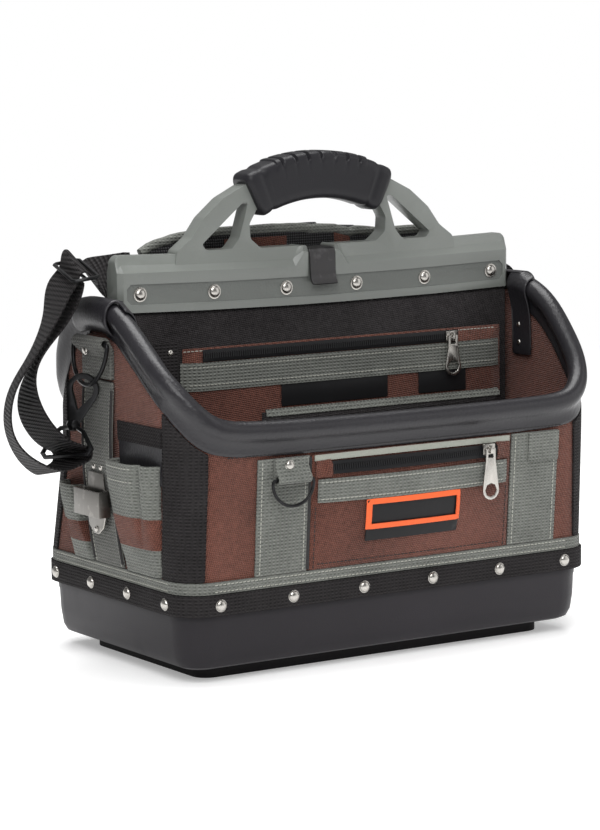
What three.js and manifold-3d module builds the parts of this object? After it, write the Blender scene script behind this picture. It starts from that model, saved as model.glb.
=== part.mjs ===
// Open top tool tote: two open bins either side of a stiff centre panel, hung from a moulded handle
// spine and standing on a hard moulded tray. Millimetres, +Z up, the front bin faces -Y, and the
// origin is the middle of the foot's underside.
import * as THREE from 'three';
import { mergeVertices } from 'three/addons/utils/BufferGeometryUtils.js';
import Module from 'manifold-3d';

const wasm = await Module();
wasm.setup();

// Gaps between pieces
const seam = 0.3;
const slip = 0.4;

// Hard tray
const trayHalfLength = 204;
const trayHalfDepth = 120;
const trayCorner = 28;
const trayInnerCorner = 14;
const trayLip = 58;
const trayWall = 3;
const trayFloor = 5;
const trayUpstand = 22;
const footHeight = 11;
const footInset = 29;

// Fabric body wall
const wallProud = 1;
const baseHalfLength = trayHalfLength + wallProud;
const baseHalfDepth = trayHalfDepth + wallProud;
const flareLeft = 7.5;
const flareRight = 3.5;
const flareFront = 8;
const flareRear = -28;
const baseCorner = 26;
const topCorner = 38;
const wallThickness = 3;

// Band and binding round the foot of the wall
const bandHeight = 17.5;
const bandThickness = 3.8;
const bindingHeight = 10;
const bindingThickness = 2.2;
const bandRivetRadius = 4.2;
const bandRivetRise = 2.2;
const bandRivetInset = 30;
const bandRivetCount = 6;
const bandRivetPitch = (2 * (baseHalfLength - bandRivetInset)) / (bandRivetCount - 1);
const bandRivetSideInset = 28;
const bandRivetSideCount = 4;
const bandRivetSidePitch = (2 * (baseHalfDepth - bandRivetSideInset)) / (bandRivetSideCount - 1);

// Tube rims of the two bins
const rimFrontHeight = 203.8;
const rimEndHeight = 300;
const rimRadius = 9.5;
const rimFlange = 19.5;
const rimLeg = 1.4;
const rimSlotDrop = 6;
const rimSpineGap = 1.5;

// Vinyl caps over the rim ends, with inner tails
const capThickness = 2;
const capDrop = 17;
const tailInner = 14;
const tailWidth = 27;
const tailBottom = 237;

// Moulded spine and handle arch
const spineInset = 5;
const spineHalfLength = baseHalfLength - spineInset;
const spineHalfDepth = 12.5;
const spineBottom = 298;
const spineHeight = 47.5;
const spineShoulder = 33;
const spineTopHalfDepth = 5;
const spineSag = 3.3;
const spineRivetHeight = 15.2;
const spineRivetInset = 20;
const spineRivetCount = 6;
const spineRivetPitch = (2 * (spineHalfLength - spineRivetInset)) / (spineRivetCount - 1);
const spineRivetRadius = 4.6;
const spineRivetRise = 2.8;
const spineShankRadius = 2.2;
const archHalfDepth = 8;
const archBeam = 24;
const saddleHalfWidth = 22;
const saddleRise = 3;
const saddleSink = 1;
const clipSeat = 11.1;
const recessInset = 7;
const recessHalfLength = spineHalfLength - recessInset;
const recessHeight = 17;
const recessDepth = 1.2;

// Grip over the middle of the arch
const gripHalfLength = 66;
const gripHalfDepth = 15.5;
const gripTop = 428;
const gripHeight = 40;
const gripCavityPast = 2;
const archRadius = 150;

// Steel clip hung over the spine
const clipWidth = 26;
const clipThickness = 1.8;
const clipFrontDrop = 31;
const clipBackDrop = 24;
const clipFlare = 4;

// Centre panel
const panelHalfDepth = 10;
const panelCorner = 3;

// Webbing
const webbing = 50;
const webbingThickness = 2;
const strapLift = 4.2;
const dWire = 2.4;
const dHalfWidth = 29;
const dDrop = 36;
const dCorner = 4;
const dTabBelowRim = 25;
const dTabHeight = rimEndHeight - dTabBelowRim;
const dTabReach = 9;
const dTabRoll = 5.2;
const dLean = 8;

// Snap hooks, slider and shoulder strap
const hookHalfWidth = 13.5;
const hookLength = 30;
const hookThickness = 5;
const hookHole = 9.4;
const hookSeat = 3.4;
const ringHalfWidth = 30;
const ringWire = 2;
const ringDrop = 22;
const sliderHalfWidth = 27.5;
const sliderHalfLength = 11;
const sliderWire = 1.6;
const strapThickness = 1.8;
const wrapRadius = 7;

// Shoulder pad
const padThickness = 9;
const padHeight = 64;
const padLeftInset = 39;
const padRightInset = 45;
const padLeft = padLeftInset - baseHalfLength;
const padRight = baseHalfLength - padRightInset;
const padTop = 370;
const padFront = 16.2;
const padBow = 7;

// Front of the bag
const frontPocketLeft = -89;
const frontPocketRight = 113;
const frontPocketBulge = 11;
const frontPocketThickness = 2;
const frontStrapLeft = -116;
const frontStrapRight = 139.5;

// Front ring
const smallRingHalfWidth = 20;
const smallRingDrop = 23;
const smallRingWire = 1.8;
const smallRingX = -111;
const smallRingHeight = 167;

// Zip sliders and pulls
const pullLength = 44;
const pullTopHalf = 5.2;
const pullBottomHalf = 8.4;
const pullRing = 2.4;
const pullThickness = 1.6;
const slotHalfWidth = 2.6;
const slotLength = 7;
const sliderBody = 9;
const sliderDepth = 2.4;
const stapleWire = 1.2;
const stapleRoom = 1.35;
const stapleHalfSpan = 2.7;

// Side pockets
const sidePocketTop = 181;
const rearPocketTop = 152;
const rearPocketEnd = 63;
const sidePocketStart = 27;
const leftPocketEnd = 83.5;
const rightPocketEnd = 90;
const leftPocketReach = 16;
const rightPocketReach = 23;
const sidePocketThickness = 2;
const holderHalfWidth = 21.5;
const holderDepth = 11;
const holderHeight = 22;
const holderPlate = 1.6;
const holderTop = 152;
const holderBackRise = 14;

// Centre panel pockets
const panelPocketDepth = 6;
const lowerPocketDepth = 5;

// Materials: colour, roughness and metalness of each finish
const finish = {
  tray: [0x4f4b4f, 0.55, 0],
  band: [0x2f2c2d, 0.6, 0],
  vinyl: [0x45424a, 0.4, 0],
  twill: [0x6e4237, 0.9, 0],
  webbingGrey: [0x787a73, 0.9, 0],
  webbingBlack: [0x2d2a2b, 0.85, 0],
  spine: [0x969b91, 0.5, 0],
  rubber: [0x4b4949, 0.6, 0],
  steel: [0xc9c5bd, 0.3, 1],
  darkSteel: [0x646060, 0.4, 1],
  blackMetal: [0x1b1a1c, 0.35, 0.8],
  label: [0x141416, 0.6, 0],
  mesh: [0x252326, 0.9, 0],
};

const group = new THREE.Group();

function add(name, geometry, [color, roughness, metalness]) {
  const material = new THREE.MeshStandardMaterial({ color, roughness, metalness });
  const mesh = new THREE.Mesh(geometry, material);
  mesh.name = name;
  group.add(mesh);
}

// A closed solid through rings of equal point counts: capped at both ends, or joined into a loop.
function loft(rings, joined = false) {
  const count = rings[0].length;
  const positions = rings.flat().flatMap((p) => [p.x, p.y, p.z]);
  const index = [];
  const spans = joined ? rings.length : rings.length - 1;
  for (let i = 0; i < spans; i += 1) {
    const next = (i + 1) % rings.length;
    for (let j = 0; j < count; j += 1) {
      const k = (j + 1) % count;
      const a = i * count + j;
      const b = i * count + k;
      const c = next * count + k;
      const d = next * count + j;
      index.push(a, b, c, a, c, d);
    }
  }
  if (!joined) {
    const last = (rings.length - 1) * count;
    for (const [a, b, c] of capFaces(rings[0])) index.push(c, b, a);
    for (const [a, b, c] of capFaces(rings[rings.length - 1])) index.push(last + a, last + b, last + c);
  }
  const geometry = new THREE.BufferGeometry();
  geometry.setAttribute('position', new THREE.Float32BufferAttribute(positions, 3));
  geometry.setIndex(volume(positions, index) < 0 ? flipped(index) : index);
  return geometry;
}

// Triangles across a ring, wound the way the ring runs.
function capFaces(ring) {
  const normal = new THREE.Vector3();
  ring.forEach((p, i) => normal.add(p.clone().cross(ring[(i + 1) % ring.length])));
  normal.normalize();
  const side = Math.abs(normal.z) < 0.9 ? new THREE.Vector3(0, 0, 1) : new THREE.Vector3(1, 0, 0);
  const across = side.cross(normal).normalize();
  const up = normal.clone().cross(across);
  const flat = ring.map((p) => new THREE.Vector2(p.dot(across), p.dot(up)));
  return THREE.ShapeUtils.triangulateShape(flat, []).map(([a, b, c]) => {
    const turn = flat[b].clone().sub(flat[a]).cross(flat[c].clone().sub(flat[a]));
    return turn < 0 ? [a, c, b] : [a, b, c];
  });
}

function volume(positions, index) {
  const point = (i) => new THREE.Vector3().fromArray(positions, i * 3);
  let sum = 0;
  for (let i = 0; i < index.length; i += 3) {
    sum += point(index[i]).dot(point(index[i + 1]).cross(point(index[i + 2])));
  }
  return sum;
}

function flipped(index) {
  const turned = [];
  for (let i = 0; i < index.length; i += 3) turned.push(index[i], index[i + 2], index[i + 1]);
  return turned;
}

// Joining and cutting of closed meshes
function solid(geometry) {
  const bare = geometry.clone();
  bare.deleteAttribute('normal');
  bare.deleteAttribute('uv');
  const merged = mergeVertices(bare, 1e-3);
  return new wasm.Manifold(new wasm.Mesh({
    numProp: 3,
    vertProperties: new Float32Array(merged.attributes.position.array),
    triVerts: new Uint32Array(merged.index.array),
  }));
}

function shell(manifold) {
  const mesh = manifold.getMesh();
  const geometry = new THREE.BufferGeometry();
  geometry.setAttribute('position', new THREE.BufferAttribute(mesh.vertProperties.slice(), 3));
  geometry.setIndex(new THREE.BufferAttribute(mesh.triVerts.slice(), 1));
  return geometry;
}

function joined(geometries) {
  return shell(geometries.map(solid).reduce((whole, piece) => whole.add(piece)));
}

function cut(geometry, tools) {
  return shell(tools.map(solid).reduce((whole, tool) => whole.subtract(tool), solid(geometry)));
}

const vector = (x, y, z) => new THREE.Vector3(x, y, z);
const degrees = (angle) => THREE.MathUtils.degToRad(angle);
const mix = THREE.MathUtils.lerp;
const steps = (count) => Array.from({ length: count + 1 }, (_, i) => i / count);

// A value read between the rows of a table whose first column is named at.
function readRow(rows, at, column) {
  const upper = rows.findIndex((row) => row.at >= at);
  if (upper === 0) return rows[0][column];
  if (upper < 0) return rows[rows.length - 1][column];
  const [low, high] = [rows[upper - 1], rows[upper]];
  return mix(low[column], high[column], (at - low.at) / (high.at - low.at));
}

// The body wall in plan and height

const bandBottom = trayLip + seam;
const bandTop = bandBottom + bandHeight;
const bindingBottom = bandTop + seam;
const bindingTop = bindingBottom + bindingHeight;
const flareTop = rimFrontHeight - rimFlange;
const frontPocketBottom = bindingTop + seam;

const flare = (z) => THREE.MathUtils.clamp((z - bindingTop) / (flareTop - bindingTop), 0, 1);
const bodyCorner = (z) => mix(baseCorner, topCorner, flare(z));
const halfLength = (z, signX) => baseHalfLength + (signX < 0 ? flareLeft : flareRight) * flare(z);
const halfDepth = (z, signY) => baseHalfDepth + (signY < 0 ? flareFront : flareRear) * flare(z);

// A point on or off the wall's outer face. The turn runs 0 to 1 along the side from its middle,
// 1 to 2 round the corner and 2 to 3 along the front to its middle; the signs pick the quarter.
function wallPoint(turn, z, offset, signX, signY) {
  const corner = bodyCorner(z);
  const straightX = halfLength(z, signX) - corner;
  const straightY = halfDepth(z, signY) - corner;
  if (turn <= 1) return vector(signX * (straightX + corner + offset), signY * straightY * turn, z);
  if (turn >= 2) return vector(signX * straightX * (3 - turn), signY * (straightY + corner + offset), z);
  const angle = degrees(90 * (turn - 1));
  const reach = corner + offset;
  return vector(
    signX * (straightX + reach * Math.cos(angle)),
    signY * (straightY + reach * Math.sin(angle)),
    z,
  );
}

const sideTurn = (y) => Math.abs(y) / (halfDepth(flareTop, Math.sign(y)) - topCorner);
const frontTurn = (x, z) => 3 - Math.abs(x) / (halfLength(z, Math.sign(x)) - bodyCorner(z));
const frontPoint = (x, z, offset, signY = -1) => wallPoint(frontTurn(x, z), z, offset, Math.sign(x) || 1, signY);
const sidePoint = (y, z, offset, signX) => vector(signX * (halfLength(z, signX) + offset), y, z);

const cornerSteps = 5;

// Every station round the whole wall, counter-clockwise seen from above.
function roundWall(turns, visit) {
  const quarters = [[1, 1], [-1, 1], [-1, -1], [1, -1]];
  return quarters.flatMap(([signX, signY]) => {
    const forward = signX * signY > 0;
    const ordered = forward ? turns : [3, ...turns.slice(1)].sort((a, b) => b - a);
    return ordered.map((turn) => visit(turn, signX, signY));
  });
}

// Height of the rim's axis as a share of its rise from the front to the caps.
const rimRows = [
  { at: 0.08, left: 1, right: 1, rear: 1 },
  { at: 0.3, left: 0.984, right: 1, rear: 1 },
  { at: 0.53, left: 0.85, right: 0.92, rear: 0.97 },
  { at: 0.76, left: 0.705, right: 0.775, rear: 0.9 },
  { at: 1, left: 0.545, right: 0.51, rear: 0.76 },
  { at: 1.2, left: 0.46, right: 0.37, rear: 0.57 },
  { at: 1.4, left: 0.36, right: 0.24, rear: 0.37 },
  { at: 1.6, left: 0.235, right: 0.145, rear: 0.21 },
  { at: 1.8, left: 0.13, right: 0.07, rear: 0.1 },
  { at: 2, left: 0.062, right: 0.028, rear: 0.04 },
  { at: 2.14, left: 0.018, right: 0.005, rear: 0.01 },
  { at: 3, left: 0, right: 0, rear: 0 },
];
function rimShare(turn, signX, signY) {
  const frontColumn = signX > 0 ? 'right' : 'left';
  return readRow(rimRows, turn, signY > 0 ? 'rear' : frontColumn);
}

const rimHeight = (turn, signX, signY) => mix(rimFrontHeight, rimEndHeight, rimShare(turn, signX, signY));

// How much longer an upright cut through the sloping rim is than a square one.
function rimStretch(turn, signX, signY) {
  const reach = 0.1;
  const low = Math.max(turn - reach, rimRows[0].at);
  const high = Math.min(turn + reach, 3);
  const run = wallPoint(low, flareTop, 0, signX, signY).distanceTo(wallPoint(high, flareTop, 0, signX, signY));
  const drop = rimHeight(low, signX, signY) - rimHeight(high, signX, signY);
  return Math.hypot(run, drop) / run;
}

// Tray

function ring(halfX, halfY, corner, z) {
  const quarters = [[1, 1, 0], [-1, 1, 90], [-1, -1, 180], [1, -1, 270]];
  return quarters.flatMap(([signX, signY, start]) => steps(cornerSteps).map((share) => {
    const angle = degrees(start + 90 * share);
    const x = signX * (halfX - corner) + corner * Math.cos(angle);
    const y = signY * (halfY - corner) + corner * Math.sin(angle);
    return vector(x, y, z);
  }));
}

function trayGeometry() {
  const upstandInset = trayHalfLength - (baseHalfLength - wallThickness - seam);
  const upstandTop = trayLip + trayUpstand;
  const rows = [
    { inset: footInset, z: 0 },
    { inset: footInset, z: footHeight - 2 },
    { inset: footInset - 7, z: footHeight },
    { inset: 13, z: footHeight + 0.6 },
    { inset: 7, z: footHeight + 3 },
    { inset: 3.6, z: footHeight + 9 },
    { inset: 1.6, z: footHeight + 22 },
    { inset: 0.8, z: trayLip - 8 },
    { inset: 0, z: trayLip - 5 },
    { inset: 0, z: trayLip },
    { inset: upstandInset, z: trayLip },
    { inset: upstandInset, z: upstandTop },
    { inset: upstandInset + trayWall, z: upstandTop },
    { inset: 3.6 + trayWall + 1, z: footHeight + 12 },
    { inset: 7 + trayWall + 1, z: footHeight + trayFloor + 1 },
    { inset: footInset, z: footHeight + trayFloor },
  ];
  return loft(rows.map(({ inset, z }) => {
    const corner = Math.max(trayCorner - inset, trayInnerCorner);
    return ring(trayHalfLength - inset, trayHalfDepth - inset, corner, z);
  }));
}

// Wall-hugging belts: a flat section carried round the whole wall

function beltGeometry(bottom, top, inner, thickness) {
  const turns = [0, ...steps(cornerSteps).map((share) => 1 + share)];
  return loft(roundWall(turns, (turn, signX, signY) => [
    wallPoint(turn, bottom, inner, signX, signY),
    wallPoint(turn, bottom, inner + thickness, signX, signY),
    wallPoint(turn, top, inner + thickness, signX, signY),
    wallPoint(turn, top, inner, signX, signY),
  ]), true);
}

// A low round head on the end of a short shank, about its own +Y axis.
function domeGeometry(radius, rise, shank, sides) {
  const profile = [[0, -shank], [radius, -shank], [radius, 0], [radius * 0.66, rise * 0.8], [0, rise]];
  return new THREE.LatheGeometry(profile.map(([out, up]) => new THREE.Vector2(out, up)), sides);
}

function placedDome(point, outward, radius, rise, shank, sides) {
  const geometry = domeGeometry(radius, rise, shank, sides);
  const turn = new THREE.Quaternion().setFromUnitVectors(vector(0, 1, 0), outward);
  return geometry.applyQuaternion(turn).translate(point.x, point.y, point.z);
}

function bandGeometry() {
  const height = (bandBottom + bandTop) / 2;
  const face = seam + bandThickness;
  const heads = [];
  for (const share of steps(bandRivetCount - 1)) {
    for (const signY of [-1, 1]) {
      const along = (share - 0.5) * (bandRivetCount - 1) * bandRivetPitch;
      const point = vector(along, signY * (baseHalfDepth + face), height);
      heads.push(placedDome(point, vector(0, signY, 0), bandRivetRadius, bandRivetRise, bandThickness - 0.5, 6));
    }
  }
  for (const share of steps(bandRivetSideCount - 1)) {
    for (const signX of [-1, 1]) {
      const along = (share - 0.5) * (bandRivetSideCount - 1) * bandRivetSidePitch;
      const point = vector(signX * (baseHalfLength + face), along, height);
      heads.push(placedDome(point, vector(signX, 0, 0), bandRivetRadius, bandRivetRise, bandThickness - 0.5, 6));
    }
  }
  return joined([beltGeometry(bandBottom, bandTop, seam, bandThickness), ...heads]);
}

// The wall itself stops a little below the rim's axis, inside the rim's slot.
function wallGeometry() {
  const turns = [0, ...rimRows.map((row) => row.at).filter((at) => at < 3)];
  const levels = [bandBottom, bindingTop, flareTop];
  return loft(roundWall(turns, (turn, signX, signY) => {
    const top = rimHeight(turn, signX, signY) - (rimSlotDrop + 2 * seam) * rimStretch(turn, signX, signY);
    const heights = [...levels, top];
    const outer = heights.map((z) => wallPoint(turn, z, 0, signX, signY));
    const inner = heights.map((z) => wallPoint(turn, z, -wallThickness, signX, signY));
    return [...outer, ...inner.reverse()];
  }), true);
}

// Rims: a tube with two thin legs that straddle the wall's top edge

function rimSection() {
  const slotHalf = wallThickness / 2 + seam;
  const legHalf = slotHalf + rimLeg;
  const meet = Math.acos(legHalf / rimRadius);
  const sides = 9;
  const circle = steps(sides).map((share) => {
    const angle = mix(-meet, Math.PI + meet, share);
    return { out: rimRadius * Math.cos(angle), up: rimRadius * Math.sin(angle) };
  });
  const foot = -rimFlange;
  return [
    { out: legHalf, up: foot },
    ...circle,
    { out: -legHalf, up: foot },
    { out: -slotHalf, up: foot },
    { out: -slotHalf, up: -rimSlotDrop },
    { out: slotHalf, up: -rimSlotDrop },
    { out: slotHalf, up: foot },
  ];
}

// Each rim starts beside the spine's end, under its cap.
function rimGeometry(signY) {
  const section = rimSection();
  const start = sideTurn(signY * (spineHalfDepth + rimSpineGap));
  const turns = [start, ...rimRows.slice(1).map((row) => row.at)];
  const station = (signX) => (turn) => {
    const height = rimHeight(turn, signX, signY);
    const stretch = rimStretch(turn, signX, signY);
    return section.map(({ out, up }) => {
      const point = wallPoint(turn, flareTop, out - wallThickness / 2, signX, signY);
      return point.setZ(height + up * stretch);
    });
  };
  const left = turns.map(station(-1));
  const right = turns.slice(0, -1).map(station(1)).reverse();
  return loft([...left, ...right]);
}

// Caps: a bent sheet over both rim ends, with a narrower tail down the inside at each end

// A point about the rim's axis, at an angle from straight out over the top to straight in.
function aboutRim(turn, signX, signY, radius, angle) {
  const stretch = rimStretch(turn, signX, signY);
  const out = radius * Math.cos(degrees(angle)) - wallThickness / 2;
  const height = rimHeight(turn, signX, signY) + radius * Math.sin(degrees(angle)) * stretch;
  return wallPoint(turn, flareTop, out, signX, signY).setZ(height);
}

const capReach = 120;
const capStep = 30;
const capInner = (rimRadius + slip) / Math.cos(degrees(capStep / 2));
const capOuter = capInner + capThickness;
const legFace = wallThickness / 2 + seam + rimLeg + slip;

function capShell(signX) {
  const angles = [0, 1, 2, 3, 4].map((i) => (i * capReach) / 4);
  const station = (turn, signY) => {
    const arc = (radius) => angles.map((angle) => aboutRim(turn, signX, signY, radius, angle));
    const drop = rimHeight(turn, signX, signY) - capDrop;
    const leg = (out, z) => wallPoint(turn, flareTop, out - wallThickness / 2, signX, signY).setZ(z);
    return [
      leg(legFace, drop),
      leg(legFace + capThickness, drop),
      leg(capOuter, drop + capDrop / 2),
      ...arc(capOuter),
      ...arc(capInner).reverse(),
      leg(capInner, drop + capDrop / 2),
    ];
  };
  const turns = rimRows.slice(0, 3).map((row) => row.at).reverse();
  const front = turns.slice(1).map((turn) => station(turn, -1));
  const rear = turns.map((turn) => station(turn, 1)).reverse();
  return loft([...front, ...rear]);
}

function capTail(signX, signY) {
  const angles = [capReach - capStep, capReach, capReach + capStep, capReach + 2 * capStep, 200];
  const [first, last] = [tailInner, tailInner + tailWidth].map((y) => sideTurn(signY * y));
  const turns = [first, ...rimRows.map((row) => row.at).filter((at) => at > first && at < last), last];
  return loft(turns.map((turn) => {
    const arc = (radius) => angles.map((angle) => aboutRim(turn, signX, signY, radius, angle));
    const bend = rimHeight(turn, signX, signY) - 2 * rimRadius;
    const leg = (out, z) => wallPoint(turn, flareTop, -out - wallThickness / 2, signX, signY).setZ(z);
    return [
      leg(legFace, tailBottom),
      leg(legFace, bend),
      ...arc(capInner).reverse(),
      ...arc(capInner + rimLeg),
      leg(legFace + rimLeg, bend),
      leg(legFace + rimLeg, tailBottom),
    ];
  }));
}

const capGeometry = (signX) => joined([capShell(signX), capTail(signX, -1), capTail(signX, 1)]);

// Spine, with its arch

const sag = (x) => -spineSag * (1 - Math.min(1, (x / spineHalfLength) ** 2));
const sagged = (geometry) => {
  const position = geometry.attributes.position;
  for (let i = 0; i < position.count; i += 1) position.setZ(i, position.getZ(i) + sag(position.getX(i)));
  return geometry;
};
const spineTop = spineBottom + spineHeight;

// The bar's section at a place along it: full depth below the shoulder, and a narrow ridge above.
function barSection(x, end, shoulderHalf, rise) {
  const bottom = spineBottom + sag(x);
  const depth = spineHalfDepth - end;
  const ridge = mix(spineTopHalfDepth, spineHalfDepth - 2, shoulderHalf);
  const shoulder = mix(spineShoulder, spineHeight - 3, shoulderHalf);
  const half = [
    { y: depth, z: 0 },
    { y: depth, z: shoulder },
    { y: mix(depth, ridge, 0.7), z: mix(shoulder, spineHeight, 0.45) },
    { y: ridge, z: spineHeight + rise - end },
  ];
  const back = half.map(({ y, z }) => vector(x, y, bottom + z));
  const front = half.map(({ y, z }) => vector(x, -y, bottom + z)).reverse();
  return [...back, ...front];
}

function barGeometry() {
  const rows = [
    { at: 1, end: 4, saddle: 0 },
    { at: 0.98, end: 0, saddle: 0 },
    { at: 0.8, end: 0, saddle: 0 },
    { at: 0.6, end: 0, saddle: 0 },
    { at: 0.4, end: 0, saddle: 0 },
    { at: 0.2, end: 0, saddle: 0 },
  ];
  const saddleRows = [
    { x: saddleHalfWidth + 5, saddle: 0 },
    { x: saddleHalfWidth - 4, saddle: 1 },
  ];
  const half = [
    ...rows.map(({ at, end, saddle }) => ({ x: at * spineHalfLength, end, saddle })),
    ...saddleRows.map(({ x, saddle }) => ({ x, end: 0, saddle })),
  ];
  const all = [...half, ...half.map((row) => ({ ...row, x: -row.x })).reverse()];
  return loft(all.map(({ x, end, saddle }) => barSection(x, end, saddle, saddle * saddleRise)));
}

function plate(points, holes, halfDepthY) {
  const shape = new THREE.Shape(points);
  shape.holes.push(...holes.map((hole) => new THREE.Path(hole)));
  const geometry = new THREE.ExtrudeGeometry(shape, { depth: 2 * halfDepthY, bevelEnabled: false });
  return geometry.rotateX(degrees(90)).translate(0, halfDepthY, 0);
}

// The arch: a crown band on one circle, two slanting outer legs and two inner struts.
const archCentre = gripTop - gripHeight / 2 - archRadius;
const crown = (angle, radius) => new THREE.Vector2(
  radius * Math.sin(degrees(angle)),
  archCentre + radius * Math.cos(degrees(angle)),
);
const archLegRows = [
  { x: 127, out: 12 },
  { x: 115, out: 14 },
  { x: 96, out: 14 },
];
const handFootRows = [
  { x: 59, up: 2.5 },
  { x: 69, up: 10.5 },
];
const handSideRows = [{ x: 70, out: -19 }];
const windowFootRows = [
  { x: 80, up: 11.5 },
  { x: 88, up: 2.5 },
  { x: 113, up: 2.5 },
  { x: 117, up: 7.5 },
];
const windowTopRows = [
  { x: 76, out: 0 },
  { x: 71, out: -3 },
];
const archFootX = 141;
const crownReach = THREE.MathUtils.radToDeg(Math.asin((gripHalfLength + gripCavityPast) / archRadius));
const crownAngles = [1, 2 / 3, 1 / 3].map((share) => share * crownReach);

function archGeometry() {
  const outerRadius = archRadius + archBeam / 2;
  const innerRadius = archRadius - archBeam / 2;
  const standing = (rows) => rows.map(({ x, up }) => new THREE.Vector2(x, spineTop + up));
  const swung = (rows) => rows.map(({ x, out }) => {
    const radius = archRadius + out;
    return new THREE.Vector2(x, archCentre + Math.sqrt(radius ** 2 - x ** 2));
  });
  const mirror = (points) => points.map((p) => new THREE.Vector2(-p.x, p.y)).reverse();
  const foot = standing([{ x: archFootX + 4, up: -spineHeight / 3 }, { x: archFootX, up: 2.5 }]);
  const half = [...foot, ...swung(archLegRows), ...crownAngles.map((angle) => crown(angle, outerRadius))];
  const outline = [...half, crown(0, outerRadius), ...mirror(half)];
  const crownHalf = (radius) => crownAngles.map((angle) => crown(angle, radius));
  const handHalf = [...standing(handFootRows), ...swung(handSideRows), ...crownHalf(innerRadius)];
  const hand = [...handHalf, crown(0, innerRadius), ...mirror(handHalf)];
  const window = [...standing(windowFootRows), ...swung(windowTopRows)];
  return sagged(plate(outline, [hand, window, mirror(window)], archHalfDepth));
}

// A round bar across the spine, used for rivet shanks and their holes.
function crossPin(x, z, radius, halfDepthY, sides) {
  const geometry = new THREE.CylinderGeometry(radius, radius, 2 * halfDepthY, sides);
  return geometry.translate(x, 0, z);
}

const rivetColumns = Array.from({ length: spineRivetCount }, (_, i) => (i - (spineRivetCount - 1) / 2) * spineRivetPitch);
const rivetZ = (x) => spineBottom + spineRivetHeight + sag(x);

// Shallow rounded panel sunk in the spine's front and back, under the rivet heads
function recessGeometry(sign) {
  const stations = [-1, -0.98, -0.5, 0, 0.5, 0.98, 1];
  return loft(stations.map((share) => {
    const x = share * recessHalfLength;
    const half = Math.abs(share) === 1 ? recessHeight / 2 - 4 : recessHeight / 2;
    const floor = sign * (spineHalfDepth - recessDepth);
    const mouth = sign * (spineHalfDepth + 3);
    const z = rivetZ(x);
    return [vector(x, floor, z - half), vector(x, mouth, z - half), vector(x, mouth, z + half), vector(x, floor, z + half)];
  }));
}

function spineGeometry() {
  const whole = solid(barGeometry()).add(solid(archGeometry()));
  const holes = rivetColumns.map((x) => crossPin(x, rivetZ(x), spineShankRadius + seam, 2 * spineHalfDepth, 8));
  const notch = new THREE.BoxGeometry(clipWidth + 2, 4 * spineHalfDepth, 2 * (saddleRise + saddleSink));
  notch.translate(0, 0, spineTop + sag(0) + saddleRise);
  const grooves = [-1, 1].map((sign) => {
    const groove = new THREE.BoxGeometry(clipWidth + 2, 4, 2 * clipFrontDrop);
    return groove.translate(0, sign * (clipSeat + 2), spineTop);
  });
  const tools = [...holes, notch, ...grooves, recessGeometry(-1), recessGeometry(1)];
  return shell(tools.map(solid).reduce((rest, tool) => rest.subtract(tool), whole));
}

function spineRivetGeometry(x) {
  const head = (sign) => {
    const point = vector(x, sign * (spineHalfDepth - recessDepth + seam), rivetZ(x));
    return placedDome(point, vector(0, sign, 0), spineRivetRadius, spineRivetRise, 0.1, 8);
  };
  const shank = crossPin(x, rivetZ(x), spineShankRadius, spineHalfDepth - recessDepth + 1, 6);
  return joined([shank, head(-1), head(1)]);
}

// Grip: a sleeve moulded round the crown band

function gripGeometry() {
  const rows = [
    { at: -1, grow: 0.78 },
    { at: -0.95, grow: 1 },
    { at: -0.68, grow: 1 },
    { at: -0.62, grow: 0.96 },
    { at: -0.3, grow: 0.98 },
    { at: 0, grow: 1 },
    { at: 0.3, grow: 0.98 },
    { at: 0.62, grow: 0.96 },
    { at: 0.68, grow: 1 },
    { at: 0.95, grow: 1 },
    { at: 1, grow: 0.78 },
  ];
  const sweep = Math.asin(gripHalfLength / archRadius);
  const section = (at, halfHigh, halfDeep, corner) => {
    const angle = THREE.MathUtils.radToDeg(at * sweep);
    const outline = [
      [halfDeep, -halfHigh + corner],
      [halfDeep, halfHigh - corner],
      [halfDeep - corner, halfHigh],
      [corner - halfDeep, halfHigh],
      [-halfDeep, halfHigh - corner],
      [-halfDeep, -halfHigh + corner],
      [corner - halfDeep, -halfHigh],
      [halfDeep - corner, -halfHigh],
    ];
    return outline.map(([y, radial]) => {
      const p = crown(angle, archRadius + radial);
      return vector(p.x, y, p.y + sag(p.x));
    });
  };
  const outside = loft(rows.map(({ at, grow }) => section(at, (gripHeight / 2) * grow, gripHalfDepth * grow, 6 * grow)));
  const past = [...crownAngles.map((angle) => -angle), 0, ...[...crownAngles].reverse()];
  const inside = loft(past.map((angle) => section(degrees(angle) / sweep, archBeam / 2 + slip, archHalfDepth + slip, 0.5)));
  return cut(outside, [inside]);
}

// A flat strip bent along a path of points in the plane across the bag, at one place along it.
function bentStrip(path, x, width, thickness) {
  const rings = path.map((p, i) => {
    const before = path[Math.max(i - 1, 0)];
    const after = path[Math.min(i + 1, path.length - 1)];
    const along = after.clone().sub(before).normalize();
    const side = new THREE.Vector2(-along.y, along.x).multiplyScalar(thickness / 2);
    const near = p.clone().add(side);
    const far = p.clone().sub(side);
    return [
      vector(x - width / 2, near.x, near.y),
      vector(x + width / 2, near.x, near.y),
      vector(x + width / 2, far.x, far.y),
      vector(x - width / 2, far.x, far.y),
    ];
  });
  return loft(rings);
}

function clipGeometry() {
  const top = spineTop + sag(0) - saddleSink + clipThickness / 2 + seam;
  const back = clipSeat + clipThickness / 2 + seam;
  const bend = 0.6;
  const path = [
    [back, top - clipBackDrop],
    [back, top - bend],
    [back - bend, top],
    [bend - back, top],
    [-back, top - bend],
    [-back - 1.4, top - clipFrontDrop / 2],
    [-back - 1.4, top - clipFrontDrop + 7],
    [-back - 1.4 - clipFlare, top - clipFrontDrop],
  ].map(([y, z]) => new THREE.Vector2(y, z));
  return bentStrip(path, 0, clipWidth, clipThickness);
}

// Centre panel: a stiff padded board from the tray's floor to the spine

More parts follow.
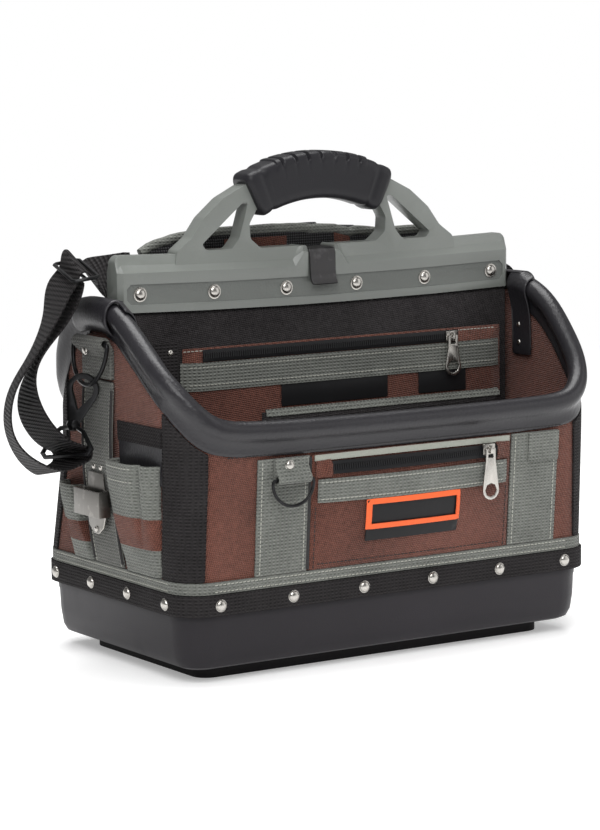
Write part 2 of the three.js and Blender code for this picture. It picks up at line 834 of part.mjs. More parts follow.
const panelRows = [
  { inset: 6.2, bottom: trayLip + trayUpstand + 1 },
  { inset: 10, bottom: footHeight + 20 },
  { inset: 16, bottom: footHeight + 12 },
  { inset: footInset + 2, bottom: footHeight + trayFloor + seam },
];

function panelGeometry() {
  const corner = panelCorner;
  const section = (x, lower, upper) => [
    vector(x, panelHalfDepth, lower),
    vector(x, panelHalfDepth, upper - corner),
    vector(x, panelHalfDepth - corner, upper),
    vector(x, corner - panelHalfDepth, upper),
    vector(x, -panelHalfDepth, upper - corner),
    vector(x, -panelHalfDepth, lower),
  ];
  const ends = panelRows.map(({ inset, bottom }) => ({ x: trayHalfLength - inset, lower: bottom }));
  const middle = { x: trayHalfLength / 2, lower: panelRows[panelRows.length - 1].bottom };
  const half = [...ends, middle];
  const all = [...half, { ...middle, x: 0 }, ...half.map((row) => ({ ...row, x: -row.x })).reverse()];
  return loft(all.map(({ x, lower }) => section(x, lower, spineBottom + sag(x) - seam)));
}

// A cloth sheet raised off a face: columns across, rows up, and a depth at each crossing.
function raisedSheet(columns, rows, place) {
  const outer = columns.map((across) => rows.map((up) => place(across, up, 1)));
  const inner = columns.map((across) => rows.map((up) => place(across, up, 0)).reverse());
  return loft(outer.map((edge, i) => [...edge, ...inner[i]]));
}

// A vertical webbing on the wall's front or back
function uprightWebbing(centreX, bottom, top, width, signY) {
  const heights = [bottom, (bottom + top) / 2, top];
  return raisedSheet([0, 0.5, 1], [0, 0.5, 1], (across, up, outside) => {
    const z = readRow(heights.map((value, i) => ({ at: i / 2, value })), up, 'value');
    const x = centreX + (across - 0.5) * width;
    return frontPoint(x, z, seam + outside * webbingThickness, signY);
  });
}

// Turns of a front corner webbing's upright side edge, at the binding and at full flare.
const leftEdgeRows = [
  { low: 0.9, high: 1.16 },
  { low: 1, high: 1.18 },
];
const rightEdgeRows = [{ low: 1.1, high: 1.18 }];

// A webbing wrapped round one corner of the body, from the binding to the rim's flange.
function cornerWebbing(signX, signY) {
  const even = rimRows.map(({ at }) => ({ low: at, high: at })).filter(({ low }) => low > 1 && low < 2);
  const frontEdge = signX < 0 ? leftEdgeRows : rightEdgeRows;
  const edge = signY < 0 ? frontEdge : [{ low: 1, high: 1 }];
  return loft([...edge, ...even].map(({ low, high }) => {
    const top = rimHeight(high, signX, signY) - rimFlange * rimStretch(high, signX, signY) - 3 * seam;
    const heights = [bindingTop + seam, (bindingTop + flareTop) / 2, flareTop, top];
    const place = (lift) => (z) => wallPoint(mix(low, high, flare(z)), z, seam + lift, signX, signY);
    return [...heights.map(place(0)), ...heights.map(place(webbingThickness)).reverse()];
  }));
}

// Closed wire loops

function wireLoop(points, radius, sides, normal) {
  const rings = points.map((p, i) => {
    const before = points[(i - 1 + points.length) % points.length];
    const after = points[(i + 1) % points.length];
    const inward = p.clone().sub(before).normalize();
    const outward = after.clone().sub(p).normalize();
    const along = inward.clone().add(outward).normalize();
    const mitre = 1 / Math.max(along.dot(inward), 0.6);
    const across = normal.clone().cross(along).normalize();
    return steps(sides).slice(0, -1).map((share) => {
      const angle = 2 * Math.PI * share;
      return p.clone()
        .addScaledVector(across, radius * mitre * Math.cos(angle))
        .addScaledVector(normal, radius * Math.sin(angle));
    });
  });
  return loft(rings, true);
}

// D-ring outline in its own plane: the straight bar on +X, the bow hanging towards -Z.
function dOutline(halfWidth, drop) {
  const bow = [20, 40, 60, 75, 90, 105, 120, 140, 160].map((angle) => vector(
    halfWidth * Math.cos(degrees(angle)),
    0,
    -dCorner - (drop - dCorner) * Math.sin(degrees(angle)),
  ));
  return [
    vector(-halfWidth + dCorner, 0, 0),
    vector(halfWidth - dCorner, 0, 0),
    vector(halfWidth - dCorner / 4, 0, -dCorner / 4),
    vector(halfWidth, 0, -dCorner),
    ...bow,
    vector(-halfWidth, 0, -dCorner),
    vector(-halfWidth + dCorner / 4, 0, -dCorner / 4),
  ];
}

function dRingGeometry(halfWidth, drop, wire) {
  return wireLoop(dOutline(halfWidth, drop), wire, 5, vector(0, 1, 0));
}

// A webbing loop that holds a D-ring's bar: rolled round the bar, both layers sewn flat below it.
function dTabGeometry(width, reach, roll, drop) {
  const flat = 2 * webbingThickness;
  const shape = new THREE.Shape();
  shape.absarc(reach, 0, roll, degrees(-60), degrees(170), false);
  shape.lineTo(seam, -roll);
  shape.lineTo(seam, -drop);
  shape.lineTo(seam + flat, -drop);
  shape.lineTo(seam + flat, -roll * 2.2);
  shape.closePath();
  const hole = new THREE.Path();
  hole.absarc(reach, 0, dWire + slip, 0, degrees(360), true);
  shape.holes.push(hole);
  const geometry = new THREE.ExtrudeGeometry(shape, { depth: width, bevelEnabled: false, curveSegments: 8 });
  return geometry.translate(0, 0, -width / 2);
}

// The extruded profile lies in X and Y; this stands it up with its width along the side wall.
function sideTabGeometry(signX) {
  const geometry = dTabGeometry(webbing - 2, dTabReach, dTabRoll, 30);
  geometry.rotateX(degrees(90));
  if (signX < 0) geometry.rotateZ(degrees(180));
  return geometry.translate(signX * halfLength(dTabHeight, signX), 0, dTabHeight);
}

const sideRingX = (signX) => signX * (halfLength(dTabHeight, signX) + dTabReach);

function sideRingGeometry(signX) {
  const geometry = dRingGeometry(dHalfWidth, dDrop, dWire).rotateZ(degrees(90));
  return geometry.rotateY(-signX * degrees(dLean)).translate(sideRingX(signX), 0, dTabHeight);
}

// Snap hook: an eye on the D-ring, a swivel, and a wire ring for the webbing.
const ringBottom = (signX) => vector(
  sideRingX(signX) + signX * dDrop * Math.sin(degrees(dLean)),
  3,
  dTabHeight - dDrop * Math.cos(degrees(dLean)),
);
const hookEye = (signX) => ringBottom(signX).add(vector(signX * 1.2, 0, -hookSeat));
const hookFoot = (signX) => hookEye(signX).add(vector(signX * 5, 9, -hookLength));
const ringBar = (signX) => hookFoot(signX).add(vector(signX * 7, 0.5, -ringDrop - 4));
const barDirection = (signX) => vector(-signX * 0.25, -0.96, 0.14).normalize();

function hookGeometry(signX) {
  const eye = hookEye(signX);
  const foot = hookFoot(signX);
  const lean = foot.clone().sub(eye).normalize();
  const shape = new THREE.Shape();
  shape.absarc(0, 0, hookHalfWidth, degrees(-20), degrees(200), false);
  shape.lineTo(-5, -hookLength);
  shape.lineTo(5, -hookLength);
  shape.closePath();
  const hole = new THREE.Path();
  hole.absarc(0, 0, hookHole, degrees(-20), degrees(200), false);
  hole.lineTo(0, -hookLength * 0.62);
  hole.closePath();
  shape.holes.push(hole);
  const body = new THREE.ExtrudeGeometry(shape, { depth: hookThickness, bevelEnabled: false, curveSegments: 5 });
  body.translate(0, 0, -hookThickness / 2);
  const across = vector(signX * -0.72, -0.69, 0).projectOnPlane(lean).normalize();
  const frame = new THREE.Matrix4().makeBasis(across, lean.clone().negate(), across.clone().cross(lean.clone().negate()));
  body.applyMatrix4(frame).translate(eye.x, eye.y, eye.z);
  const swivel = new THREE.SphereGeometry(6.5, 7, 4).translate(foot.x, foot.y, foot.z);
  const bar = ringBar(signX);
  const along = barDirection(signX);
  const up = foot.clone().sub(bar).projectOnPlane(along).normalize();
  const place = (across1, high) => bar.clone().addScaledVector(along, across1).addScaledVector(up, high);
  const corner = 4;
  const loop = [
    place(-ringHalfWidth + corner, 0),
    place(ringHalfWidth - corner, 0),
    place(ringHalfWidth, corner),
    place(ringHalfWidth * 0.62, ringDrop - 3),
    place(ringHalfWidth * 0.3, ringDrop + 2),
    place(-ringHalfWidth * 0.3, ringDrop + 2),
    place(-ringHalfWidth * 0.62, ringDrop - 3),
    place(-ringHalfWidth, corner),
  ];
  const ringWires = wireLoop(loop, ringWire, 5, along.clone().cross(up).normalize());
  return joined([body, swivel, ringWires]);
}

// A band carried through pairs of edge points, near edge and far edge.
function bandPath(pairs, width, thickness) {
  const middles = pairs.map(([near, far]) => near.clone().lerp(far, 0.5));
  const rings = pairs.map(([near, far], i) => {
    const before = middles[Math.max(i - 1, 0)];
    const after = middles[Math.min(i + 1, middles.length - 1)];
    const across = far.clone().sub(near).normalize();
    const along = after.clone().sub(before).projectOnPlane(across).normalize();
    const face = across.clone().cross(along).normalize();
    const corner = (side, lift) => middles[i].clone()
      .addScaledVector(across, (side * width) / 2)
      .addScaledVector(face, (lift * thickness) / 2);
    return [corner(-1, -1), corner(1, -1), corner(1, 1), corner(-1, 1)];
  });
  return loft(rings);
}

// Slider: a wire frame with a middle bar, lying almost flat beside the spine's left end
const sliderOut = 22.3;
const sliderCentre = vector(-baseHalfLength - sliderOut, 11.3, 333.9);
const sliderWide = vector(0.185, 0.964, 0.189).normalize();
const sliderLong = vector(0.965, -0.2, 0.15).projectOnPlane(sliderWide).normalize();
const sliderUp = sliderLong.clone().cross(sliderWide).normalize();

function sliderGeometry() {
  const place = (across, along) => sliderCentre.clone()
    .addScaledVector(sliderWide, across)
    .addScaledVector(sliderLong, along);
  const corner = 2.5;
  const near = sliderHalfWidth - corner;
  const short = sliderHalfLength - corner;
  const loop = [
    place(-near, -sliderHalfLength),
    place(near, -sliderHalfLength),
    place(sliderHalfWidth, -short),
    place(sliderHalfWidth, short),
    place(near, sliderHalfLength),
    place(-near, sliderHalfLength),
    place(-sliderHalfWidth, short),
    place(-sliderHalfWidth, -short),
  ];
  const frame = wireLoop(loop, sliderWire, 6, sliderUp);
  const bar = new THREE.CylinderGeometry(sliderWire, sliderWire, 2 * sliderHalfWidth, 6);
  bar.applyQuaternion(new THREE.Quaternion().setFromUnitVectors(vector(0, 1, 0), sliderWide));
  bar.translate(sliderCentre.x, sliderCentre.y, sliderCentre.z);
  return joined([frame, bar]);
}

// Edge points of the strap where it passes the slider: along it, and above it at each edge.
function slotPair(along, nearUp, farUp) {
  const at = (side, up) => sliderCentre.clone()
    .addScaledVector(sliderWide, (side * webbing) / 2)
    .addScaledVector(sliderLong, along)
    .addScaledVector(sliderUp, up);
  return [at(-1, nearUp), at(1, farUp)];
}

// Near and far edge of the strap, each so far out from the end of the wall's foot.
const edgePair = (signX) => ({ nearOut, nearY, nearZ, farOut, farY, farZ }) => [
  vector(signX * (baseHalfLength + nearOut), nearY, nearZ),
  vector(signX * (baseHalfLength + farOut), farY, farZ),
];

// The turn round a hook's bar, from under it to over it on the bag's side.
function barWrap(signX) {
  const wide = barDirection(signX);
  return [-100, -50, 0, 50, 95].map((angle) => {
    const middle = ringBar(signX).add(vector(
      -signX * wrapRadius * Math.cos(degrees(angle)),
      0,
      wrapRadius * Math.sin(degrees(angle)),
    ));
    return [middle.clone().addScaledVector(wide, webbing / 2), middle.clone().addScaledVector(wide, -webbing / 2)];
  });
}

// Left strap: from the pad over the slider, down and out, round the hook's ring and back up.
const leftApproachRows = [
  { nearOut: -38.5, nearY: 17, nearZ: 303, farOut: -38.5, farY: 27, farZ: 342 },
  { nearOut: -19, nearY: 18, nearZ: 307, farOut: -21, farY: 38, farZ: 337.5 },
  { nearOut: -2, nearY: 18, nearZ: 316.5, farOut: -6, farY: 44, farZ: 336 },
  { nearOut: 7, nearY: 5, nearZ: 323, farOut: 2, farY: 42, farZ: 335 },
];
const leftFallRows = [
  { nearOut: 34.5, nearY: -13, nearZ: 323.5, farOut: 28.5, farY: 36, farZ: 331.5 },
  { nearOut: 40, nearY: -13, nearZ: 318, farOut: 35.5, farY: 36, farZ: 325 },
  { nearOut: 45, nearY: -13, nearZ: 309, farOut: 39.5, farY: 36, farZ: 314 },
  { nearOut: 52, nearY: -13, nearZ: 298, farOut: 40, farY: 36, farZ: 302 },
  { nearOut: 60, nearY: -13, nearZ: 287, farOut: 42.5, farY: 36, farZ: 290 },
  { nearOut: 71, nearY: -13, nearZ: 272, farOut: 49, farY: 36, farZ: 275 },
  { nearOut: 81, nearY: -13, nearZ: 260, farOut: 58, farY: 36, farZ: 260 },
  { nearOut: 92, nearY: -13, nearZ: 246, farOut: 70, farY: 36, farZ: 245 },
  { nearOut: 98, nearY: -13, nearZ: 230, farOut: 78, farY: 36, farZ: 230 },
  { nearOut: 99, nearY: -13, nearZ: 212, farOut: 81, farY: 36, farZ: 212 },
  { nearOut: 93, nearY: -13, nearZ: 197, farOut: 78, farY: 36, farZ: 195 },
  { nearOut: 81, nearY: -13, nearZ: 185, farOut: 69, farY: 36, farZ: 177 },
  { nearOut: 63, nearY: -13, nearZ: 175, farOut: 57, farY: 36, farZ: 165.5 },
  { nearOut: 46, nearY: -12, nearZ: 170.5, farOut: 48, farY: 36, farZ: 161 },
];
const leftReturnRows = [
  { nearOut: 45, nearY: -13, nearZ: 196, farOut: 52, farY: 36, farZ: 190 },
  { nearOut: 60, nearY: -13, nearZ: 210, farOut: 63, farY: 36, farZ: 204 },
  { nearOut: 71, nearY: -13, nearZ: 228, farOut: 69, farY: 36, farZ: 222 },
  { nearOut: 76, nearY: -13, nearZ: 246, farOut: 64, farY: 36, farZ: 240 },
  { nearOut: 73, nearY: -13, nearZ: 262, farOut: 55, farY: 36, farZ: 254 },
  { nearOut: 62, nearY: -13, nearZ: 276, farOut: 46, farY: 36, farZ: 267 },
  { nearOut: 49, nearY: -13, nearZ: 288, farOut: 39, farY: 36, farZ: 280 },
  { nearOut: 41.5, nearY: -13, nearZ: 297, farOut: 34.5, farY: 36, farZ: 293 },
  { nearOut: 34, nearY: -13, nearZ: 308, farOut: 31.5, farY: 36, farZ: 305 },
  { nearOut: 29.5, nearY: -13, nearZ: 317, farOut: 28, farY: 36, farZ: 318 },
];

function leftStrapGeometry() {
  return bandPath([
    ...leftApproachRows.map(edgePair(-1)),
    slotPair(12, -4.4, -4.4),
    slotPair(5.8, -0.4, -0.4),
    slotPair(3.2, 4, 9),
    slotPair(0.6, 4.8, 12.5),
    slotPair(-2.6, 4.4, 12),
    slotPair(-5, 1, 6),
    slotPair(-5.8, -1.5, -1),
    ...leftFallRows.map(edgePair(-1)),
    ...barWrap(-1),
    ...leftReturnRows.map(edgePair(-1)),
    slotPair(-1, -4, -4),
  ], webbing - 2, strapThickness);
}

// Right strap: from the pad over the rear rim, down outside and round its hook's ring.
const rightFallRows = [
  { nearOut: -44.5, nearY: 17, nearZ: 303, farOut: -44.5, farY: 27, farZ: 342 },
  { nearOut: -31, nearY: 18, nearZ: 307, farOut: -32, farY: 38, farZ: 338 },
  { nearOut: -15, nearY: 18, nearZ: 311, farOut: -16, farY: 50, farZ: 333 },
  { nearOut: -1, nearY: 18, nearZ: 315, farOut: -1, farY: 58, farZ: 320 },
  { nearOut: 9, nearY: 18, nearZ: 316, farOut: 9, farY: 61, farZ: 311 },
  { nearOut: 19, nearY: 18, nearZ: 312, farOut: 19, farY: 61, farZ: 304 },
  { nearOut: 26, nearY: 17, nearZ: 300, farOut: 26, farY: 60, farZ: 292 },
  { nearOut: 32, nearY: 12, nearZ: 280, farOut: 31, farY: 56, farZ: 275 },
  { nearOut: 42, nearY: 4, nearZ: 250, farOut: 41, farY: 50, farZ: 247 },
  { nearOut: 51, nearY: -4, nearZ: 222, farOut: 54, farY: 43, farZ: 218 },
  { nearOut: 55, nearY: -10, nearZ: 200, farOut: 61, farY: 38, farZ: 194 },
  { nearOut: 51, nearY: -12, nearZ: 181, farOut: 60, farY: 36, farZ: 174 },
  { nearOut: 39, nearY: -13, nearZ: 171, farOut: 51, farY: 36, farZ: 163 },
];
const rightReturnRows = [
  { nearOut: 38, nearY: -13, nearZ: 190, farOut: 50, farY: 36, farZ: 184 },
  { nearOut: 45, nearY: -11, nearZ: 201, farOut: 52.5, farY: 37, farZ: 195 },
  { nearOut: 45, nearY: -5, nearZ: 218, farOut: 47, farY: 42, farZ: 214 },
];

function rightStrapGeometry() {
  return bandPath([
    ...rightFallRows.map(edgePair(1)),
    ...barWrap(1),
    ...rightReturnRows.map(edgePair(1)),
  ], webbing - 2, strapThickness);
}

// Shoulder pad: a thick curved band standing behind the spine
const padRows = [
  { at: 0, drop: 26, high: 0.74, back: 0 },
  { at: 0.04, drop: 18, high: 0.86, back: 0 },
  { at: 0.14, drop: 10, high: 1, back: 0.3 },
  { at: 0.34, drop: 6, high: 1, back: 0.8 },
  { at: 0.56, drop: 5, high: 1, back: 1 },
  { at: 0.78, drop: 13, high: 1, back: 0.8 },
  { at: 0.92, drop: 16, high: 1, back: 0.3 },
  { at: 0.98, drop: 23, high: 0.86, back: 0 },
  { at: 1, drop: 28, high: 0.74, back: 0 },
];

function padGeometry() {
  const edge = 3;
  return loft(padRows.map(({ at, drop, high, back }) => {
    const x = mix(padLeft, padRight, at);
    const crest = padTop - drop;
    const low = crest - padHeight * high;
    const near = padFront + padBow * back;
    const far = near + padThickness * (high < 1 ? 0.75 : 1);
    return [
      vector(x, near, low + edge),
      vector(x, near, crest - edge),
      vector(x, near + edge, crest),
      vector(x, far - edge, crest),
      vector(x, far, crest - edge),
      vector(x, far, low + edge),
      vector(x, far - edge, low),
      vector(x, near + edge, low),
    ];
  }));
}

// Front pocket: a bulging sheet between the two front straps
const pocketTop = flareTop - 2 * seam;
const pocketColumns = [0, 0.08, 0.25, 0.45, 0.65, 0.85, 0.94, 1];
const pocketRows = [0, 0.1, 0.25, 0.45, 0.65, 0.82, 1];
const swell = (across, up) => Math.sin(Math.PI * across) ** 0.7 * Math.sin(Math.PI * up) ** 0.8;

function frontPocketGeometry() {
  return raisedSheet(pocketColumns, pocketRows, (across, up, outside) => {
    const x = mix(frontPocketLeft, frontPocketRight, across);
    const z = mix(frontPocketBottom, pocketTop, up);
    const depth = outside * (frontPocketThickness + frontPocketBulge * swell(across, up));
    return frontPoint(x, z, seam + depth);
  });
}

// How far the pocket's cloth stands off at any place, between the pocket's own columns and rows.
function pocketSwell(across, up) {
  const span = (list, value) => {
    const next = Math.max(1, list.findIndex((entry) => entry >= value));
    return { low: list[next - 1], high: list[next] };
  };
  const column = span(pocketColumns, across);
  const row = span(pocketRows, up);
  const shareX = (across - column.low) / (column.high - column.low);
  const shareZ = (up - row.low) / (row.high - row.low);
  const low = mix(swell(column.low, row.low), swell(column.high, row.low), shareX);
  const high = mix(swell(column.low, row.high), swell(column.high, row.high), shareX);
  return mix(low, high, shareZ);
}

// A flat piece laid over the front pocket, following its swell
function onPocket({ left, right, bottom, top, lift, thickness }) {
  const across = (x) => (x - frontPocketLeft) / (frontPocketRight - frontPocketLeft);
  const up = (z) => (z - frontPocketBottom) / (pocketTop - frontPocketBottom);
  const between = (list, low, high) => [low, ...list.filter((entry) => entry > low && entry < high), high];
  const columns = between(pocketColumns, across(left), across(right));
  const rows = between(pocketRows, up(bottom), up(top));
  return raisedSheet(columns, rows, (column, row, outside) => {
    const x = mix(frontPocketLeft, frontPocketRight, column);
    const z = mix(frontPocketBottom, pocketTop, row);
    const face = seam + frontPocketThickness + frontPocketBulge * pocketSwell(column, row);
    return frontPoint(x, z, face + lift + outside * thickness);
  });
}

const frontPieces = {
  zip: { left: -76, right: 100, bottom: 166.5, top: 177.5, lift: 0.9, thickness: 1.4 },
  tape: { left: -84, right: 108, bottom: 143, top: 163, lift: 0.9, thickness: 1 },
  label: { left: -39, right: 54, bottom: 107, top: 142, lift: 0.9, thickness: 0.8 },
};

// Zip slider: a small body with a staple standing on it, through which the pull's top bar runs
function zipSliderGeometry() {
  const body = new THREE.BoxGeometry(sliderBody + 3, sliderDepth, sliderBody);
  body.translate(0, -sliderDepth / 2, 0);
  const outer = sliderDepth + 2 * stapleRoom + stapleWire;
  const leg = (sign) => new THREE.BoxGeometry(2 * stapleWire, outer, stapleWire)
    .translate(0, -outer / 2, sign * stapleHalfSpan);
  const bridge = new THREE.BoxGeometry(2 * stapleWire, stapleWire, 2 * stapleHalfSpan + stapleWire);
  bridge.translate(0, stapleWire / 2 - outer, 0);
  return joined([body, leg(-1), leg(1), bridge]);
}

// Pull: a flat tapered plate with a slot under its top bar and a finger ring at its foot
function pullGeometry(length) {
  const half = pullThickness / 2;
  const ringCentre = pullBottomHalf + half - length;
  const shape = new THREE.Shape();
  shape.moveTo(pullTopHalf, half);
  shape.lineTo(-pullTopHalf, half);
  shape.lineTo(-pullTopHalf, -slotLength - 3);
  shape.lineTo(-pullBottomHalf, ringCentre);
  shape.absarc(0, ringCentre, pullBottomHalf, degrees(180), degrees(360), false);
  shape.lineTo(pullTopHalf, -slotLength - 3);
  shape.closePath();
  const slot = new THREE.Path([
    new THREE.Vector2(-slotHalfWidth, -half - 0.1),
    new THREE.Vector2(slotHalfWidth, -half - 0.1),
    new THREE.Vector2(slotHalfWidth, -slotLength),
    new THREE.Vector2(-slotHalfWidth, -slotLength),
  ]);
  const finger = new THREE.Path();
  finger.absarc(0, ringCentre, pullBottomHalf - pullRing, 0, degrees(360), true);
  shape.holes.push(slot, finger);
  const geometry = new THREE.ExtrudeGeometry(shape, { depth: pullThickness, bevelEnabled: false, curveSegments: 4 });
  return geometry.rotateX(degrees(90)).translate(0, half, 0);
}

// A slider's place on the front pocket and on the panel's pocket
const frontSlider = { x: 85, z: 174 };
const panelSlider = { x: 131, z: 258 };

// Side pockets: a pleated cloth sheet that stands off the wall and tapers in at its foot
const sideOutlineRows = [
  { at: 0, reach: 0 },
  { at: 0.08, reach: 0.85 },
  { at: 0.3, reach: 1 },
  { at: 0.7, reach: 0.94 },
  { at: 0.92, reach: 0.55 },
  { at: 1, reach: 0 },
];
const sideHeightRows = [
  { at: 0, swell: 0.1 },
  { at: 0.12, swell: 0.24 },
  { at: 0.45, swell: 0.7 },
  { at: 0.8, swell: 0.98 },
  { at: 1, swell: 1 },
];

// Each column of the pocket is a strip of cloth from foot to mouth, and the pocket is open above.
function sidePocketGeometry(signX, signY) {
  const bottom = bindingTop + seam;
  const top = signY < 0 ? sidePocketTop : rearPocketTop;
  const frontEnd = signX < 0 ? leftPocketEnd : rightPocketEnd;
  const end = signY < 0 ? frontEnd : rearPocketEnd;
  const full = signX < 0 || signY > 0 ? leftPocketReach : rightPocketReach;
  const column = ({ at, reach, inset }) => sideHeightRows.map(({ at: up, swell: share }) => {
    const z = mix(bottom, top, up);
    const squeeze = { 0: inset, 1: -inset }[at] ?? 0;
    const y = mix(sidePocketStart, end, at) + squeeze;
    const stand = seam + sidePocketThickness + full * reach * share;
    return sidePoint(signY * y, z, reach > 0 ? stand - inset : seam, signX);
  });
  return loft(sideOutlineRows.map(({ at, reach }) => [
    ...column({ at, reach, inset: 0 }),
    ...column({ at, reach, inset: sidePocketThickness }).reverse(),
  ]));
}

// The grey webbing down the middle of each side, standing off over the pockets' edges
const sideStrapRows = [
  { at: 0, lift: 0.1 },
  { at: 0.12, lift: 0.6 },
  { at: 0.35, lift: 0.95 },
  { at: 0.6, lift: 1 },
  { at: 0.85, lift: 0.5 },
  { at: 1, lift: 0.1 },
];

function sideStrapGeometry(signX) {
  const bottom = bindingTop + seam;
  const top = dTabHeight - 32;
  return loft(sideStrapRows.map(({ at, lift }) => {
    const z = mix(bottom, top, at);
    const near = seam + strapLift * lift;
    const far = near + webbingThickness;
    const half = webbing / 2;
    return [
      sidePoint(-half, z, near, signX),
      sidePoint(half, z, near, signX),
      sidePoint(half, z, far, signX),
      sidePoint(-half, z, far, signX),
    ];
  }));
}

// Steel tape holder on the left strap: an open sleeve on a back plate with a rounded tongue
function holderGeometry() {
  const backTop = holderTop + holderBackRise;
  const base = halfLength(backTop, -1) + seam + strapLift + webbingThickness + slip;
  const tongue = holderTop - holderHeight - 16;
  const back = new THREE.Shape([
    new THREE.Vector2(-12, backTop),
    new THREE.Vector2(12, backTop),
    new THREE.Vector2(14, holderTop),
    new THREE.Vector2(holderHalfWidth - 6, holderTop - holderHeight),
    new THREE.Vector2(12, tongue + 6),
    new THREE.Vector2(4, tongue),
    new THREE.Vector2(-4, tongue),
    new THREE.Vector2(-12, tongue + 6),
    new THREE.Vector2(6 - holderHalfWidth, holderTop - holderHeight),
    new THREE.Vector2(-14, holderTop),
  ]);
  const plateGeometry = new THREE.ExtrudeGeometry(back, { depth: holderPlate, bevelEnabled: false });
  const stand = new THREE.Matrix4().makeBasis(vector(0, -1, 0), vector(0, 0, 1), vector(-1, 0, 0));
  plateGeometry.applyMatrix4(stand).translate(-base, 0, 0);
  const sleeve = new THREE.Shape([
    new THREE.Vector2(-base - holderDepth, -holderHalfWidth),
    new THREE.Vector2(-base, -holderHalfWidth),
    new THREE.Vector2(-base, holderHalfWidth),
    new THREE.Vector2(-base - holderDepth, holderHalfWidth),
  ]);
  sleeve.holes.push(new THREE.Path([
    new THREE.Vector2(-base - holderDepth + holderPlate, -holderHalfWidth + holderPlate),
    new THREE.Vector2(-base - holderDepth + holderPlate, holderHalfWidth - holderPlate),
    new THREE.Vector2(-base - holderPlate, holderHalfWidth - holderPlate),
    new THREE.Vector2(-base - holderPlate, -holderHalfWidth + holderPlate),
  ]));
  const box = new THREE.ExtrudeGeometry(sleeve, { depth: holderHeight, bevelEnabled: false });
  box.translate(0, 0, holderTop - holderHeight);
  return joined([plateGeometry, box]);
}

// Pockets on the centre panel's front: a tall zipped one, and a lower open one over it

function panelPocketGeometry({ left, right, bottom, top, depth, face }, signY) {
  const columns = [0, 0.04, 0.5, 0.96, 1];
  const rows = [0, 0.06, 0.94, 1];
  const slope = (share, run) => Math.min(1, Math.min(share, 1 - share) / run);
  return raisedSheet(columns, rows, (across, up, outside) => {
    const edge = Math.min(slope(across, 0.04), slope(up, 0.06));
    const y = face + (outside ? mix(1, depth, edge) : 0);
    return vector(mix(left, right, across), signY * y, mix(bottom, top, up));
  });
}

const panelFace = panelHalfDepth + seam;
const pocketFace = panelFace + panelPocketDepth + seam;
const panelPieces = {
  tall: { left: 64 - trayHalfLength, right: trayHalfLength - 14, bottom: 82, top: 264, depth: panelPocketDepth, face: panelFace },
  low: { left: -66, right: trayHalfLength - 18, bottom: 92, top: 205, depth: lowerPocketDepth, face: pocketFace },
  zip: { left: 80 - trayHalfLength, right: trayHalfLength - 64, bottom: 252.5, top: 263, depth: 1.2, face: pocketFace },
  label: { left: -46, right: 64, bottom: 209, top: 234, depth: 1, face: pocketFace },
  tag: { left: 97, right: 148, bottom: 209, top: 231, depth: 1, face: pocketFace },
};

// The front ring's webbing loop, rolled round the ring's bar at its foot
function smallTabGeometry() {
  const geometry = dTabGeometry(2 * (smallRingHalfWidth - dCorner), smallRingWire + 3.4, smallRingWire + 2.6, 17);
  geometry.rotateX(degrees(90)).rotateY(degrees(180)).rotateZ(degrees(90));
  return geometry.translate(smallRingX, smallRingFace, smallRingHeight);
}

const smallRingFace = -(halfDepth(smallRingHeight + 17, -1) + seam + webbingThickness);
const smallRingY = smallRingFace - smallRingWire - 3.4;

function smallRingGeometry() {
  const geometry = dRingGeometry(smallRingHalfWidth, smallRingDrop, smallRingWire);
  return geometry.translate(smallRingX, smallRingY, smallRingHeight);
}

// A slider standing on a cloth face, and its pull hanging from the slider's pin.
const sliderPlaces = {
  front: { x: frontSlider.x, y: -(halfDepth(frontSlider.z, -1) + seam + 7.9), z: frontSlider.z },
  panel: { x: panelSlider.x, y: -(pocketFace + seam + 1.4), z: panelSlider.z },
};
const onSlider = (geometry, { x, y, z }) => geometry.translate(x, y, z);
const onPin = (geometry, { x, y, z }) => geometry.translate(x, y - sliderDepth - stapleRoom, z);

// Assembly

add('base_tray', trayGeometry(), finish.tray);
add('base_band', bandGeometry(), finish.band);
add('base_binding', beltGeometry(bindingBottom, bindingTop, seam, bindingThickness), finish.webbingGrey);
add('body_wall', wallGeometry(), finish.twill);
add('rim_front', rimGeometry(-1), finish.vinyl);
add('rim_rear', rimGeometry(1), finish.vinyl);
for (const [side, signX] of [['left', -1], ['right', 1]]) {
  add(`rim_cap_${side}`, capGeometry(signX), finish.vinyl);
  for (const [end, signY] of [['front', -1], ['rear', 1]]) {
    add(`corner_webbing_${end}_${side}`, cornerWebbing(signX, signY), finish.webbingBlack);
    add(`side_pocket_${end}_${side}`, sidePocketGeometry(signX, signY), finish.twill);
  }
  add(`side_strap_${side}`, sideStrapGeometry(signX), finish.webbingGrey);
  add(`side_ring_tab_${side}`, sideTabGeometry(signX), finish.webbingGrey);
  add(`side_ring_${side}`, sideRingGeometry(signX), finish.blackMetal);
  add(`snap_hook_${side}`, hookGeometry(signX), finish.blackMetal);
}
for (const [end, signY] of [['front', -1], ['rear', 1]]) {
  const strap = (x) => uprightWebbing(x, bindingTop + seam, flareTop - 2 * seam, webbing, signY);
  add(`${end}_strap_left`, strap(frontStrapLeft), finish.webbingGrey);
  add(`${end}_strap_right`, strap(frontStrapRight), finish.webbingGrey);
}
add('tape_holder', holderGeometry(), finish.darkSteel);
add('strap_left', leftStrapGeometry(), finish.webbingBlack);
add('strap_right', rightStrapGeometry(), finish.webbingBlack);
add('strap_slider', sliderGeometry(), finish.blackMetal);
add('shoulder_pad', padGeometry(), finish.mesh);

